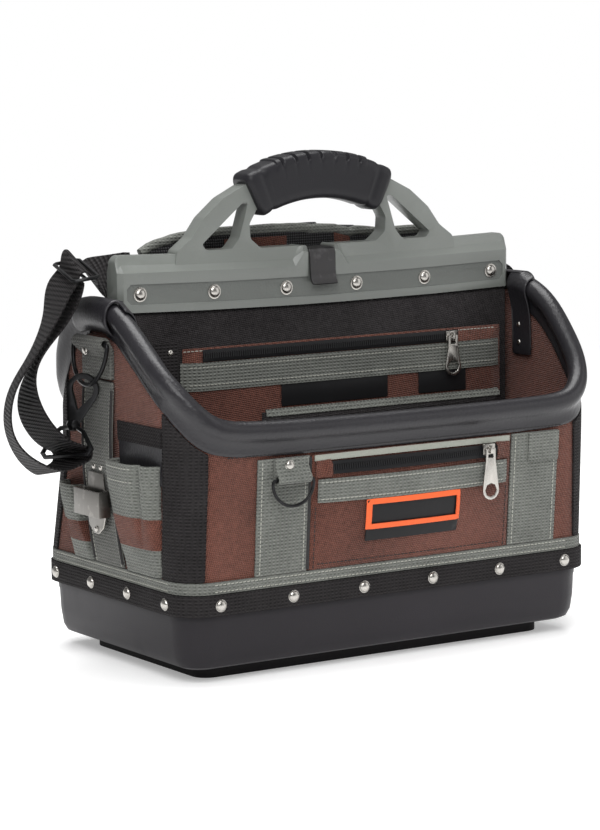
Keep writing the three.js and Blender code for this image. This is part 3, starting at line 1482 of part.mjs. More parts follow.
add('front_pocket', frontPocketGeometry(), finish.twill);
add('front_zip', onPocket(frontPieces.zip), finish.label);
add('front_zip_tape', onPocket(frontPieces.tape), finish.webbingGrey);
add('front_label', onPocket(frontPieces.label), finish.label);
add('front_zip_slider', onSlider(zipSliderGeometry(), sliderPlaces.front), finish.steel);
add('front_zip_pull', onPin(pullGeometry(pullLength), sliderPlaces.front), finish.steel);
add('front_ring_tab', smallTabGeometry(), finish.webbingGrey);
add('front_ring', smallRingGeometry(), finish.steel);

add('centre_panel', panelGeometry(), finish.webbingBlack);
add('panel_pocket', panelPocketGeometry(panelPieces.tall, -1), finish.twill);
add('panel_low_pocket', panelPocketGeometry(panelPieces.low, -1), finish.webbingBlack);
add('panel_rear_pocket', panelPocketGeometry(panelPieces.tall, 1), finish.webbingBlack);
add('panel_zip', panelPocketGeometry(panelPieces.zip, -1), finish.label);
add('panel_label', panelPocketGeometry(panelPieces.label, -1), finish.label);
add('panel_tag', panelPocketGeometry(panelPieces.tag, -1), finish.label);
add('panel_zip_slider', onSlider(zipSliderGeometry(), sliderPlaces.panel), finish.steel);
add('panel_zip_pull', onPin(pullGeometry(pullLength - 8), sliderPlaces.panel), finish.steel);
add('spine', spineGeometry(), finish.spine);
add('grip', gripGeometry(), finish.rubber);
add('spine_clip', clipGeometry(), finish.darkSteel);
rivetColumns.forEach((x, i) => add(`spine_rivet_${i + 1}`, spineRivetGeometry(x), finish.steel));

export default group;
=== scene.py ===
import math

import bmesh
import bpy
from bpy.props import FloatProperty, FloatVectorProperty, IntProperty, PointerProperty
from mathutils import Matrix, Vector, noise
from mathutils.bvhtree import BVHTree


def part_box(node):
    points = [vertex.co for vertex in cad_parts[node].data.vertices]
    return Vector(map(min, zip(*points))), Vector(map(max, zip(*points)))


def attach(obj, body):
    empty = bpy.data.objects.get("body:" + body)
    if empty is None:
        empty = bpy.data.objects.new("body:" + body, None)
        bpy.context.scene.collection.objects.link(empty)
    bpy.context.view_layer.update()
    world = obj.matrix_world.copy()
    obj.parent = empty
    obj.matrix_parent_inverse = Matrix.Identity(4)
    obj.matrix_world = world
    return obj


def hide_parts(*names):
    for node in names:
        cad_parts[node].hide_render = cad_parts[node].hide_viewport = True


bl_info = {
    "name": "Open top tool tote",
    "version": (1, 0, 0),
    "blender": (4, 5, 0),
    "location": "3D View > Sidebar > Tote",
    "description": "Dresses the packed tote: cloth, webbing, moulded parts, fittings and studio",
    "category": "Object",
}

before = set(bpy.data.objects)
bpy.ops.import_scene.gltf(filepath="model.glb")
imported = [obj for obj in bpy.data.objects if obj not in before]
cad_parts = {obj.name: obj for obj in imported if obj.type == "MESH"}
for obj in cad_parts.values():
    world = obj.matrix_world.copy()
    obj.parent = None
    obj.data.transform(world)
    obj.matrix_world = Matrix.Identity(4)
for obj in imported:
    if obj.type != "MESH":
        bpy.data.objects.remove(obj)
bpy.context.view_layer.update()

MM = 0.001
UP = Vector((0, 0, 1))
FRONT = Vector((0, -1, 0))
BACK = Vector((0, 1, 0))
LEFT = Vector((-1, 0, 0))
RIGHT = Vector((1, 0, 0))


ENDS = ("front", "rear")
SIDES = ("left", "right")


# Settings

def colour_setting(name, description, value):
    return FloatVectorProperty(name=name, description=description, default=value,
                               subtype="COLOR", size=3, min=0, max=1)


def length_setting(name, description, millimetres):
    return FloatProperty(name=name, description=description, default=millimetres * MM,
                         unit="LENGTH", subtype="DISTANCE")


def number_setting(name, description, value, unit="NONE"):
    return FloatProperty(name=name, description=description, default=value, unit=unit)


class ToteClothSettings(bpy.types.PropertyGroup):
    twill_colour: colour_setting("Twill", "Brown cloth of walls and pockets", (0.098, 0.036, 0.025))
    grey_colour: colour_setting("Grey webbing", "Grey tape and trim", (0.104, 0.108, 0.098))
    side_colour: colour_setting("Side webbing", "Darker tape at the sides", (0.074, 0.075, 0.069))
    black_colour: colour_setting("Black webbing", "Black tape and straps", (0.0085, 0.0078, 0.0080))
    vinyl_colour: colour_setting("Vinyl", "Coated cloth over the rims", (0.018, 0.017, 0.020))
    mesh_colour: colour_setting("Knit", "Open knit of the shoulder pad", (0.014, 0.014, 0.015))
    thread_colour: colour_setting("Thread", "Stitches", (0.36, 0.36, 0.32))
    piping_colour: colour_setting("Piping", "Piping over the front pocket", (0.30, 0.31, 0.27))
    border_colour: colour_setting("Label border", "Border of the blank label", (0.86, 0.13, 0.03))
    twill_pitch: length_setting("Twill pitch", "Distance between twill threads", 2.9)
    webbing_pitch: length_setting("Webbing pitch", "Distance between ribs of the tape", 2.8)
    stitch_length: length_setting("Stitch length", "Length of one stitch", 2.6)
    stitch_gap: length_setting("Stitch gap", "Distance from one stitch to the next", 1.2)
    stitch_width: length_setting("Stitch width", "Width of the thread", 0.7)


class ToteHardSettings(bpy.types.PropertyGroup):
    spine_colour: colour_setting("Spine", "Moulded spine and arch", (0.165, 0.176, 0.163))
    recess_colour: colour_setting("Recess", "Floor of the spine's recess", (0.118, 0.126, 0.117))
    tray_colour: colour_setting("Tray", "Moulded tray", (0.021, 0.019, 0.022))
    # Tray foot: darker than the tray as painted shade under its edge.
    foot_shade_colour: colour_setting("Tray foot", "Raised foot under the tray", (0.012, 0.011, 0.012))
    rubber_colour: colour_setting("Grip", "Soft moulded grip", (0.017, 0.0165, 0.019))
    nickel_colour: colour_setting("Nickel", "Rivets and pulls", (0.47, 0.45, 0.42))
    dark_steel_colour: colour_setting("Dark steel", "Spine clip", (0.075, 0.073, 0.074))
    black_metal_colour: colour_setting("Black metal", "Rings and hooks", (0.010, 0.010, 0.011))
    grip_ribs: IntProperty(name="Grip ribs", description="Cross grooves over the grip", default=7,
                           min=1, max=12)
    groove_depth: length_setting("Groove depth", "Depth of the grip's cross grooves", 2.8)
    rivet_radius: length_setting("Rivet radius", "Radius of the spine rivets", 5.0)
    band_rivet_radius: length_setting("Band rivet radius", "Radius of rivets round the foot", 4.7)


class ToteStageSettings(bpy.types.PropertyGroup):
    floor_size: number_setting("Floor size", "Side of the floor", 14.0, "LENGTH")
    floor_colour: colour_setting("Floor colour", "Pale studio floor", (0.93, 0.93, 0.93))
    lens: number_setting("Lens", "Focal length in millimetres on a 36 mm frame", 133.64)
    shift_x: number_setting("Shift across", "Camera shift across", -0.0092)
    shift_y: number_setting("Shift up", "Camera shift up", -0.0016)
    distance: number_setting("Distance", "Camera distance", 2.675, "LENGTH")
    azimuth: number_setting("Azimuth", "Camera angle round the bag", -32.79)
    elevation: number_setting("Elevation", "Camera angle over the floor", 7.42)
    roll: number_setting("Roll", "Camera roll", -0.74)
    key_power: number_setting("Key light", "Power of the soft key light", 88.0, "POWER")
    fill_power: number_setting("Fill light", "Power of the soft fill light", 22.0, "POWER")
    top_power: number_setting("Top light", "Power of the overhead light", 74.0, "POWER")
    floor_glow: number_setting("Floor glow", "Evens the floor out to white", 0.3)
    fade_start: number_setting("Fade start", "Where the floor starts to fade", 0.7, "LENGTH")
    fade_end: number_setting("Fade end", "Where the floor has faded", 2.4, "LENGTH")
    sky: number_setting("Sky", "Light from the plain surroundings", 0.24)


def cloth():
    return bpy.context.scene.tote_cloth


def hard():
    return bpy.context.scene.tote_hard


def studio():
    return bpy.context.scene.tote_stage


# Shader groups

class Wires:
    """Adds nodes to one tree and joins them."""

    def __init__(self, tree):
        self.tree = tree

    def node(self, kind, **values):
        made = self.tree.nodes.new(kind)
        for name, value in values.items():
            setattr(made, name, value)
        return made

    def link(self, source, target):
        self.tree.links.new(source, target)

    def put(self, socket, value):
        if isinstance(value, bpy.types.NodeSocket):
            self.link(value, socket)
        else:
            socket.default_value = value

    def math(self, operation, first, second=0.0):
        made = self.node("ShaderNodeMath", operation=operation)
        self.put(made.inputs[0], first)
        self.put(made.inputs[1], second)
        return made.outputs[0]

    def blend(self, share, first, second):
        made = self.node("ShaderNodeMix", data_type="FLOAT")
        self.put(made.inputs[0], share)
        self.put(made.inputs[2], first)
        self.put(made.inputs[3], second)
        return made.outputs[0]

    def tint(self, share, first, second):
        made = self.node("ShaderNodeMix", data_type="RGBA")
        self.put(made.inputs[0], share)
        self.put(made.inputs[6], first)
        self.put(made.inputs[7], second)
        return made.outputs[2]

    def remap(self, value, low, high, to_low=0, to_high=1):
        made = self.node("ShaderNodeMapRange")
        for socket, limit in zip(made.inputs, (value, low, high, to_low, to_high)):
            self.put(socket, limit)
        return made.outputs[0]

    def noise(self, vector, scale, detail=3.0, roughness=0.5):
        made = self.node("ShaderNodeTexNoise")
        self.link(vector, made.inputs["Vector"])
        self.fill(made.inputs, {"Scale": scale, "Detail": detail, "Roughness": roughness})
        return made.outputs[0]

    def fill(self, sockets, values):
        """Joins or sets the inputs of those names."""
        for label, value in values.items():
            self.put(sockets[label], value)

    def plus(self, first, second):
        return self.math("ADD", first, second)

    def minus(self, first, second):
        return self.math("SUBTRACT", first, second)

    def times(self, first, second):
        return self.math("MULTIPLY", first, second)

    def wave(self, value, pitch):
        return self.math("SINE", self.times(self.math("DIVIDE", value, pitch), 2 * math.pi))

    def place(self):
        return self.node("ShaderNodeTexCoord").outputs["Object"]

    def split(self, vector):
        made = self.node("ShaderNodeSeparateXYZ")
        self.link(vector, made.inputs[0])
        return made.outputs

    def facing(self):
        """How far a face points across, deep and up, without its sign."""
        normal = self.node("ShaderNodeNewGeometry").outputs["Normal"]
        return [self.math("ABSOLUTE", part) for part in self.split(normal)]


def open_group(name, outputs, **inputs):
    """The wires and the float inputs of a new shader group with those outputs."""
    tree = bpy.data.node_groups.new(name, "ShaderNodeTree")
    for label, value in inputs.items():
        socket = tree.interface.new_socket(label, in_out="INPUT", socket_type="NodeSocketFloat")
        socket.default_value = value
    for label in outputs:
        tree.interface.new_socket(label, in_out="OUTPUT", socket_type="NodeSocketFloat")
    wires = Wires(tree)
    return wires, wires.node("NodeGroupInput").outputs


def close_group(wires, **values):
    """Joins the values to the group's outputs."""
    wires.fill(wires.node("NodeGroupOutput").inputs, values)
    return wires.tree


def face_plane(wires):
    """Coordinates in the plane that a face lies nearest to: across and up."""
    place = wires.place()
    wide, deep, high = wires.split(place)
    side, front, level = wires.facing()
    flat = wires.math("GREATER_THAN", level, 0.8)
    across = wires.blend(wires.math("GREATER_THAN", side, front), wide, deep)
    return wires.blend(flat, across, wide), wires.blend(flat, high, deep), place


def build_twill_group():
    """Slanting threads crossed by fine ribs: height of the threads, and a dark-to-light tone of
    painted shade in the grooves and painted light on the threads, with random mottling.
    """
    wires, entry = open_group("Twill threads", ("Height", "Tone"), Pitch=0.0017)
    across, up, place = face_plane(wires)
    slope = 0.6
    slant = wires.wave(wires.plus(across, wires.times(up, slope)), entry["Pitch"])
    rib = wires.wave(wires.minus(up, wires.times(across, slope)), entry["Pitch"])
    height = wires.remap(wires.times(slant, rib), -1, 1)
    cloudy = wires.times(wires.noise(place, 260, 4), 0.55)
    broad = wires.times(wires.minus(wires.noise(place, 9, 3), 0.5), 0.9)
    # Tone: painted shade in the weave's grooves and painted light on its raised threads, from the
    # height, plus random mottling.
    tone = wires.plus(wires.plus(wires.times(height, 0.5), cloudy), broad)
    return close_group(wires, Height=height, Tone=tone)


def build_tape_group():
    """Coarse tape: staggered ribs with pale flecks between the threads, painted shade in the grooves
    and painted light on the ribs.
    """
    wires, entry = open_group("Tape ribs", ("Height", "Tone"), Pitch=0.0021)
    across, up, place = face_plane(wires)
    rib = wires.wave(up, entry["Pitch"])
    thread = wires.wave(across, wires.times(entry["Pitch"], 1.35))
    cross = wires.times(wires.times(rib, thread), 0.5)
    height = wires.remap(wires.plus(wires.times(rib, 0.5), cross), -1, 1)
    fleck = wires.times(wires.noise(place, 520, 2), 0.6)
    patch = wires.times(wires.minus(wires.noise(place, 30, 4), 0.5), 0.5)
    # Tone: painted shade in the grooves and painted light on the ribs, from the height, plus random
    # flecks and patches.
    tone = wires.plus(wires.plus(wires.times(height, 0.6), fleck), patch)
    return close_group(wires, Height=height, Tone=tone)


def build_strap_group():
    """Ribs straight across a hanging strap, with painted light on the ribs and painted shade between
    them.
    """
    wires, entry = open_group("Strap ribs", ("Height", "Tone"), Pitch=0.0024)
    place = wires.place()
    wide, deep, high = wires.split(place)
    upright = wires.math("GREATER_THAN", wires.facing()[0], 0.55)
    rib = wires.wave(wires.blend(upright, wide, high), entry["Pitch"])
    fine = wires.wave(deep, wires.times(entry["Pitch"], 0.8))
    height = wires.remap(wires.plus(wires.times(rib, 0.75), wires.times(fine, 0.25)), -1, 1)
    fleck = wires.times(wires.noise(place, 420, 2), 0.4)
    # Tone: painted light on the ribs and painted shade between them, from the height, plus random
    # flecks.
    return close_group(wires, Height=height, Tone=wires.plus(wires.times(height, 0.7), fleck))


def build_knit_group():
    """Open knit: round holes in staggered rows, with painted shade in the holes."""
    wires, entry = open_group("Open knit", ("Height", "Tone"), Pitch=0.0036)
    across, up, place = face_plane(wires)
    first = wires.wave(wires.plus(across, up), entry["Pitch"])
    second = wires.wave(wires.minus(across, up), entry["Pitch"])
    hole = wires.remap(wires.times(first, second), -0.1, 0.6)
    fleck = wires.plus(wires.noise(place, 300, 2), 0.4)
    # Tone: painted shade in the holes, mixed with random flecks.
    return close_group(wires, Height=hole, Tone=wires.times(hole, fleck))


def build_grain_group():
    """Moulded or coated surface: fine grain, broad unevenness and faint scuffs."""
    outputs = ("Height", "Scuffs", "Tone")
    wires, entry = open_group("Moulded grain", outputs, Grain=900.0, Scuff=24.0)
    place = wires.place()
    grain = wires.noise(place, entry["Grain"], 2.0)
    scuffs = wires.remap(wires.noise(place, entry["Scuff"], 8.0, 0.75), 0.55, 0.72)
    return close_group(wires, Height=grain, Scuffs=scuffs, Tone=wires.noise(place, 5, 2))


def build_brushed_group():
    """Metal: fine upright brush lines and a few worn spots."""
    wires, entry = open_group("Brushed metal", ("Height", "Wear"), Stretch=40.0)
    place = wires.place()
    mapping = wires.node("ShaderNodeMapping")
    wires.link(place, mapping.inputs[0])
    mapping.inputs["Scale"].default_value = (1.0, 1.0, 0.06)
    lines = wires.noise(mapping.outputs[0], wires.times(entry["Stretch"], 30.0), 2.0)
    return close_group(wires, Height=lines, Wear=wires.remap(wires.noise(place, 110, 6), 0.56, 0.7))


GROUP_BUILDERS = {
    "twill": build_twill_group,
    "tape": build_tape_group,
    "strap": build_strap_group,
    "knit": build_knit_group,
    "grain": build_grain_group,
    "brushed": build_brushed_group,
}
groups = {}
materials = {}


def group_tree(kind):
    if kind not in groups:
        groups[kind] = GROUP_BUILDERS[kind]()
    return groups[kind]


def start_material(name):
    """A new material, its wires and its shader's inputs."""
    material = bpy.data.materials.new(name)
    material.use_nodes = True
    wires = Wires(material.node_tree)
    return material, wires, material.node_tree.nodes["Principled BSDF"].inputs


def surface_group(wires, kind):
    return wires.node("ShaderNodeGroup", node_tree=group_tree(kind))


def scaled(colour, factor):
    return (*[min(1.0, part * factor) for part in colour], 1.0)


def bump(wires, shader, height, strength, distance):
    made = wires.node("ShaderNodeBump")
    wires.fill(made.inputs, {"Height": height, "Strength": strength, "Distance": distance})
    wires.link(made.outputs[0], shader["Normal"])


def woven(name, kind, pitch, colour, dark, light, roughness, sheen, relief, gloss=0.2):
    """Woven cloth: the colour runs from dark to light with the weave's tone, which paints shade into
    the grooves and light onto the threads, and the weave stands up as relief.
    """
    material, wires, shader = start_material(name)
    weave = surface_group(wires, kind)
    weave.inputs["Pitch"].default_value = pitch
    tone = weave.outputs["Tone"]
    # Base colour from the tone: painted shade in the weave's grooves, painted light on its threads.
    wires.fill(shader, {
        "Base Color": wires.tint(tone, scaled(colour, dark), scaled(colour, light)),
        "Roughness": wires.remap(tone, 0, 1, roughness + 0.08, roughness - 0.06),
        "Sheen Weight": sheen,
        "Sheen Roughness": 0.45,
        "Specular IOR Level": gloss,
    })
    bump(wires, shader, weave.outputs["Height"], 0.8, relief)
    return material


def moulded(name, colour, roughness, grain, relief, scuff_share=0.16, gloss=0.5):
    """Plastic, rubber or coated cloth: grain, uneven tone and scuffs that catch the light."""
    material, wires, shader = start_material(name)
    surface = surface_group(wires, "grain")
    surface.inputs["Grain"].default_value = grain
    scuffs = surface.outputs["Scuffs"]
    tone = wires.remap(surface.outputs["Tone"], 0.3, 0.7)
    base = wires.tint(tone, scaled(colour, 0.86), scaled(colour, 1.14))
    wires.fill(shader, {
        "Base Color": wires.tint(wires.times(scuffs, scuff_share), base, scaled(colour, 2.2)),
        "Roughness": wires.blend(scuffs, roughness, min(1.0, roughness + 0.12)),
        "Specular IOR Level": gloss,
    })
    bump(wires, shader, surface.outputs["Height"], 0.35, relief)
    return material


def metal(name, colour, roughness, wear_factor, metallic=1.0):
    """Metal with brush lines and worn spots."""
    material, wires, shader = start_material(name)
    surface = surface_group(wires, "brushed")
    worn = wires.times(surface.outputs["Wear"], 0.5)
    lines = surface.outputs["Height"]
    wires.fill(shader, {
        "Base Color": wires.tint(worn, scaled(colour, 1.0), scaled(colour, wear_factor)),
        "Metallic": metallic,
        "Roughness": wires.remap(lines, 0.3, 0.7, roughness - 0.06, roughness + 0.1),
    })
    bump(wires, shader, lines, 0.12, 0.00015)
    return material


def thread(name, colour, factor):
    """Twisted thread or cord: fine slanting twist."""
    material, wires, shader = start_material(name)
    twist = wires.noise(wires.place(), 1400, 1)
    wires.fill(shader, {
        "Base Color": wires.tint(twist, scaled(colour, 0.7), scaled(colour, factor)),
        "Roughness": wires.remap(twist, 0, 1, 0.85, 0.65),
    })
    bump(wires, shader, twist, 0.4, 0.0002)
    return material


def material_table():
    """What each kind of material is made of.

    Woven: name, weave, pitch, colour, darkest and lightest share of the colour, roughness,
    sheen, relief, gloss. Moulded: name, colour, roughness, grain, relief, scuffs, gloss.
    Metal: name, colour, roughness, worn share, metallic. Thread: name, colour, lightest share.
    """
    soft = cloth()
    solid = hard()
    fine = soft.twill_pitch
    tape = soft.webbing_pitch
    brown = soft.twill_colour
    grey = soft.grey_colour
    side = soft.side_colour
    black = soft.black_colour
    mesh = soft.mesh_colour
    holder = scaled(solid.nickel_colour, 0.42)[:3]
    return {
        # Woven rows: the darkest and lightest shares set the painted shade in the weave's grooves
        # and the painted light on its threads.
        "twill": (woven, "brown twill", "twill", fine, brown, 0.05, 2.3, 0.8, 0.12, 0.0014),
        "grey": (woven, "grey webbing", "tape", tape, grey, 0.2, 2.15, 0.8, 0.12, 0.0013),
        "side grey": (woven, "side webbing", "tape", tape, side, 0.2, 2.3, 0.8, 0.1, 0.0013),
        "black": (woven, "black webbing", "tape", tape, black, 0.2, 4.2, 0.7, 0, 0.0013, 0.08),
        "strap": (woven, "ribbed strap", "strap", tape * 1.25, black, 0.15, 4, 0.6, 0, 0.0022, 0.12),
        "panel": (woven, "black panel cloth", "twill", fine, black, 0.2, 6.5, 0.8, 0, 0.001, 0.08),
        "knit": (woven, "open knit", "knit", 0.0046, mesh, 0.35, 3.4, 0.75, 0.15, 0.0012),
        "vinyl": (moulded, "coated cloth", soft.vinyl_colour, 0.34, 420.0, 0.0009, 0.1, 0.42),
        "spine": (moulded, "moulded spine", solid.spine_colour, 0.3, 1500.0, 0.00025, 0.1, 0.6),
        "recess": (moulded, "pebbled recess", solid.recess_colour, 0.5, 520.0, 0.0012, 0.1),
        "tray": (moulded, "moulded tray", solid.tray_colour, 0.4, 1100.0, 0.0005, 0.12, 0.16),
        # Tray foot: the darker colour is painted shade under the tray's edge.
        "foot": (moulded, "tray foot", solid.foot_shade_colour, 0.62, 900.0, 0.0006, 0.16, 0.1),
        "rubber": (moulded, "soft grip", solid.rubber_colour, 0.36, 1300.0, 0.0004, 0.06, 0.22),
        "coil": (moulded, "zip coil", mesh, 0.35, 1200.0, 0.0002, 0.2, 0.15),
        "nickel": (metal, "nickel", solid.nickel_colour, 0.24, 0.7),
        "dark steel": (metal, "dark steel", solid.dark_steel_colour, 0.36, 2.0),
        "holder steel": (metal, "holder steel", holder, 0.34, 2.0),
        "black metal": (metal, "black metal", solid.black_metal_colour, 0.34, 4.0, 0.6),
        "thread": (thread, "stitching", soft.thread_colour, 1.3),
        "dark thread": (thread, "dark stitching", black, 3.0),
        "piping": (thread, "pale piping", soft.piping_colour, 1.2),
        "border": (thread, "label border", soft.border_colour, 1.15),
    }


def finish_of(kind):
    """The material of that kind, made when it is first needed."""
    if kind not in materials:
        maker, *values = material_table()[kind]
        materials[kind] = maker(*values)
    return materials[kind]


# Mesh helpers

def merged_copy(name):
    """A welded copy of a CAD node."""
    made = bmesh.new()
    made.from_mesh(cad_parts[name].data)
    bmesh.ops.remove_doubles(made, verts=made.verts, dist=0.00001)
    return made


def publish(made, name, kinds, slot, replaced=(), body="bag", smooth=40.0, levels=0):
    """Turns a bmesh into a finished piece that rides on a body."""
    mesh = bpy.data.meshes.new(name)
    made.to_mesh(mesh)
    made.free()
    piece = bpy.data.objects.new(name, mesh)
    bpy.context.scene.collection.objects.link(piece)
    for kind in kinds:
        mesh.materials.append(finish_of(kind))
    mesh.shade_smooth()
    mesh.set_sharp_from_angle(angle=math.radians(smooth))
    if levels:
        modifier = piece.modifiers.new("Smooth", "SUBSURF")
        modifier.levels = levels
        modifier.render_levels = levels
    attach(piece, body)
    if replaced:
        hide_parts(*replaced)
    return piece


def sharp_edges(made, angle):
    limit = math.radians(angle)
    inner = [edge for edge in made.edges if len(edge.link_faces) == 2]
    return [edge for edge in inner if edge.calc_face_angle() > limit]


def flat_copy(name):
    """A copy of a hard node, with triangles joined where they are level."""
    made = merged_copy(name)
    level = math.radians(0.6)
    bmesh.ops.dissolve_limit(made, angle_limit=level, verts=made.verts, edges=made.edges)
    return made


def round_edges(made, edges, width, segments):
    bmesh.ops.bevel(made, geom=edges, offset=width * MM, segments=segments, profile=0.5,
                    affect="EDGES", clamp_overlap=True, material=-1)


def eased(name, width, segments=2, angle=30.0):
    """A copy of a hard node with its edges rounded."""
    made = flat_copy(name)
    round_edges(made, sharp_edges(made, angle), width, segments)
    return made


def quads(name, crease_angle=50.0):
    """A copy of a lofted node in quads, with its sharp edges creased for subdivision."""
    made = merged_copy(name)
    bmesh.ops.join_triangles(
        made,
        faces=made.faces,
        angle_face_threshold=math.radians(45),
        angle_shape_threshold=math.radians(70),
    )
    crease = made.edges.layers.float.new("crease_edge")
    for edge in sharp_edges(made, crease_angle):
        edge[crease] = 0.92
    return made


def publish_eased(node, name, kind, slot, width, segments=2, angle=30.0, **finish):
    """A hard node with rounded edges, as a finished piece."""
    publish(eased(node, width, segments, angle), name, (kind,), slot, [node], **finish)


def publish_lofted(node, name, kind, slot, crease_angle=50.0, **finish):
    """A lofted node in quads, as a finished piece."""
    publish(quads(node, crease_angle), name, (kind,), slot, [node], **finish)


def ripple(made, amount, scale, seed):
    """Uneven hang of cloth: every point moves a little along its normal."""
    made.normal_update()
    for vertex in made.verts:
        lift = noise.noise(Vector(vertex.co) * scale + Vector((seed, 0, 0)))
        vertex.co += vertex.normal * (lift * amount * MM)


def basis(point, along, normal):
    """A matrix with X along a direction and Z along a normal, at a point."""
    along = along.normalized()
    normal = (normal - along * normal.dot(along)).normalized()
    across = normal.cross(along)
    turn = Matrix((along, across, normal)).transposed().to_4x4()
    turn.translation = point
    return turn


def surface_of(*names):
    """A tree of the finished shapes of those objects, for laying things on them."""
    graph = bpy.context.evaluated_depsgraph_get()
    bpy.context.view_layer.update()
    vertices = []
    faces = []
    for name in names:
        mesh = bpy.data.objects[name].evaluated_get(graph).to_mesh()
        start = len(vertices)
        vertices.extend(vertex.co.copy() for vertex in mesh.vertices)
        faces.extend([start + index for index in polygon.vertices] for polygon in mesh.polygons)
    return BVHTree.FromPolygons(vertices, faces)


def laid_point(tree, across, up, facing):
    """Where a line straight on to the bag first meets a surface, with its normal there."""
    if abs(facing.y) > 0.5:
        start = Vector((across * MM, facing.y * 0.6, up * MM))
    elif abs(facing.x) > 0.5:
        start = Vector((facing.x * 0.7, across * MM, up * MM))
    else:
        start = Vector((across * MM, up * MM, 0.9))
    hit, normal, _, _ = tree.ray_cast(start, -facing)
    if hit is None:
        return None, None
    if normal.dot(facing) < 0:
        normal = -normal
    return hit, normal


def add_block(made, matrix, size):
    scale = Matrix.Diagonal((*size, 1.0))
    bmesh.ops.create_cube(made, size=1.0, matrix=matrix @ scale)


def add_stitches(made, points, settings):
    """Short blocks of thread along a line of surface points, each a (place, normal) pair."""
    pitch = settings.stitch_length + settings.stitch_gap
    width = settings.stitch_width
    size = (settings.stitch_length, width, width * 0.7)
    left = 0.0
    for (place, normal), (following, _) in zip(points, points[1:]):
        step = following - place
        length = step.length
        if length < 1e-6:
            continue
        travel = left
        while travel < length:
            centre = place + step * (travel / length) + normal * (width * 0.15)
            add_block(made, basis(centre, step, normal), size)
            travel += pitch
        left = travel - length


def laid_line(tree, corners, facing, spacing=5.0):
    """Surface points along straight lines between corners: across and up, in millimetres."""
    points = []
    for (across, up), (next_across, next_up) in zip(corners, corners[1:]):
        wide = next_across - across
        high = next_up - up
        count = max(1, round(math.hypot(wide, high) / spacing))
        for index in range(count + 1):
            share = index / count
            spot = laid_point(tree, across + wide * share, up + high * share, facing)
            if spot[0] is not None:
                points.append(spot)
    return points


def add_turned(made, profile, place, direction, steps=24):
    """A turned shape from (radius, rise) pairs in millimetres, standing on a place."""
    verts = [made.verts.new((radius * MM, 0, rise * MM)) for radius, rise in profile]
    edges = [made.edges.new(pair) for pair in zip(verts, verts[1:])]
    known = set(made.verts) - set(verts)
    bmesh.ops.spin(
        made,
        geom=verts + edges,
        cent=(0, 0, 0),
        axis=(0, 0, 1),
        angle=2 * math.pi,
        steps=steps,
        use_merge=True,
    )
    fresh = [vertex for vertex in made.verts if vertex not in known]
    bmesh.ops.remove_doubles(made, verts=fresh, dist=0.000001)
    fresh = [vertex for vertex in made.verts if vertex not in known]
    faces = [face for face in made.faces if face.verts[0] not in known]
    bmesh.ops.recalc_face_normals(made, faces=faces)
    turn = Vector((0, 0, 1)).rotation_difference(direction.normalized()).to_matrix().to_4x4()
    bmesh.ops.transform(made, matrix=Matrix.Translation(place) @ turn, verts=fresh)


def dome_profile(radius, rise, collar=0.0):
    """A rivet head: flat foot, optional collar, round crown."""
    edge = 0.5
    wide = radius + collar
    foot = [(0.0, -0.6), (wide, -0.6), (wide, 0.35), (radius + collar * 0.4, edge)]
    crown = []
    for degrees in (0, 18, 36, 54, 72):
        angle = math.radians(degrees)
        crown.append((radius * math.cos(angle), edge + (rise - edge) * math.sin(angle)))
    return foot + crown + [(0.0, rise)]


def add_tube(made, points, radius, sides=8):
    """A round tube through places, closed at both ends."""
    loops = []
    for index, place in enumerate(points):
        before = points[max(index - 1, 0)]
        after = points[min(index + 1, len(points) - 1)]
        along = (after - before).normalized()
        turn = Vector((0, 0, 1)).rotation_difference(along).to_matrix().to_4x4()
        ring = bmesh.ops.create_circle(
            made,
            cap_ends=index in (0, len(points) - 1),
            radius=radius,
            segments=sides,
            matrix=Matrix.Translation(place) @ turn,
        )["verts"]
        chosen = set(ring)
        loops.append([edge for edge in made.edges if chosen.issuperset(edge.verts)])
    for first, second in zip(loops, loops[1:]):
        bmesh.ops.bridge_loops(made, edges=first + second)


def add_sheet(made, tree, left, right, bottom, top, facing, thickness, lift, columns, rows):
    """A thin flat piece laid on a surface: a grid dropped on it, then given its thickness."""
    grid = bmesh.ops.create_grid(made, x_segments=columns, y_segments=rows, size=0.5)["verts"]
    for vertex in grid:
        across = left + (vertex.co.x + 0.5) * (right - left)
        up = bottom + (vertex.co.y + 0.5) * (top - bottom)
        place, normal = laid_point(tree, across, up, facing)
        if place is None:
            raise RuntimeError(f"nothing to lay the sheet on at {across:.0f}, {up:.0f}")
        vertex.co = place + facing * (lift * MM)
    chosen = set(grid)
    faces = [face for face in made.faces if face.verts[0] in chosen]
    made.normal_update()
    if sum((face.normal for face in faces), Vector()).dot(facing) < 0:
        bmesh.ops.reverse_faces(made, faces=faces)
    bmesh.ops.solidify(made, geom=faces, thickness=-thickness * MM)


def add_frame(made, tree, left, right, bottom, top, facing, width, thickness, lift):
    """Four narrow strips round a rectangle."""
    for low, high in ((bottom, bottom + width), (top - width, top)):
        add_sheet(made, tree, left, right, low, high, facing, thickness, lift, 24, 1)
    for low, high in ((left, left + width), (right - width, right)):
        add_sheet(made, tree, low, high, bottom, top, facing, thickness, lift, 1, 6)


def publish_sheets(name, kind, slot, tree, sheets, smooth=50):
    """Thin flat pieces laid on a surface, as one finished piece.

    Each is left, right, bottom, top, facing, thickness, lift, columns and rows.
    """
    made = bmesh.new()
    for sheet in sheets:
        add_sheet(made, tree, *sheet)
    publish(made, name, (kind,), slot, smooth=smooth)


# Pieces: foot of the bag

class TOTE_OT_tray(bpy.types.Operator):
    """Moulded tray with rounded edges, and painted shade darkening its foot"""

    bl_idname = "tote.tray"
    bl_label = "Tray"

    def execute(self, context):
        foot_top = 0.0125
        made = eased("base_tray", 1.6, 3, 24)
        # Faces below the foot's top take the darker foot colour: painted shade under the tray.
        for face in made.faces:
            if face.calc_center_median().z < foot_top:
                face.material_index = 1
        publish(made, "tray_shell", ("tray", "foot"), "tray", ["base_tray"], smooth=50)
        return {"FINISHED"}


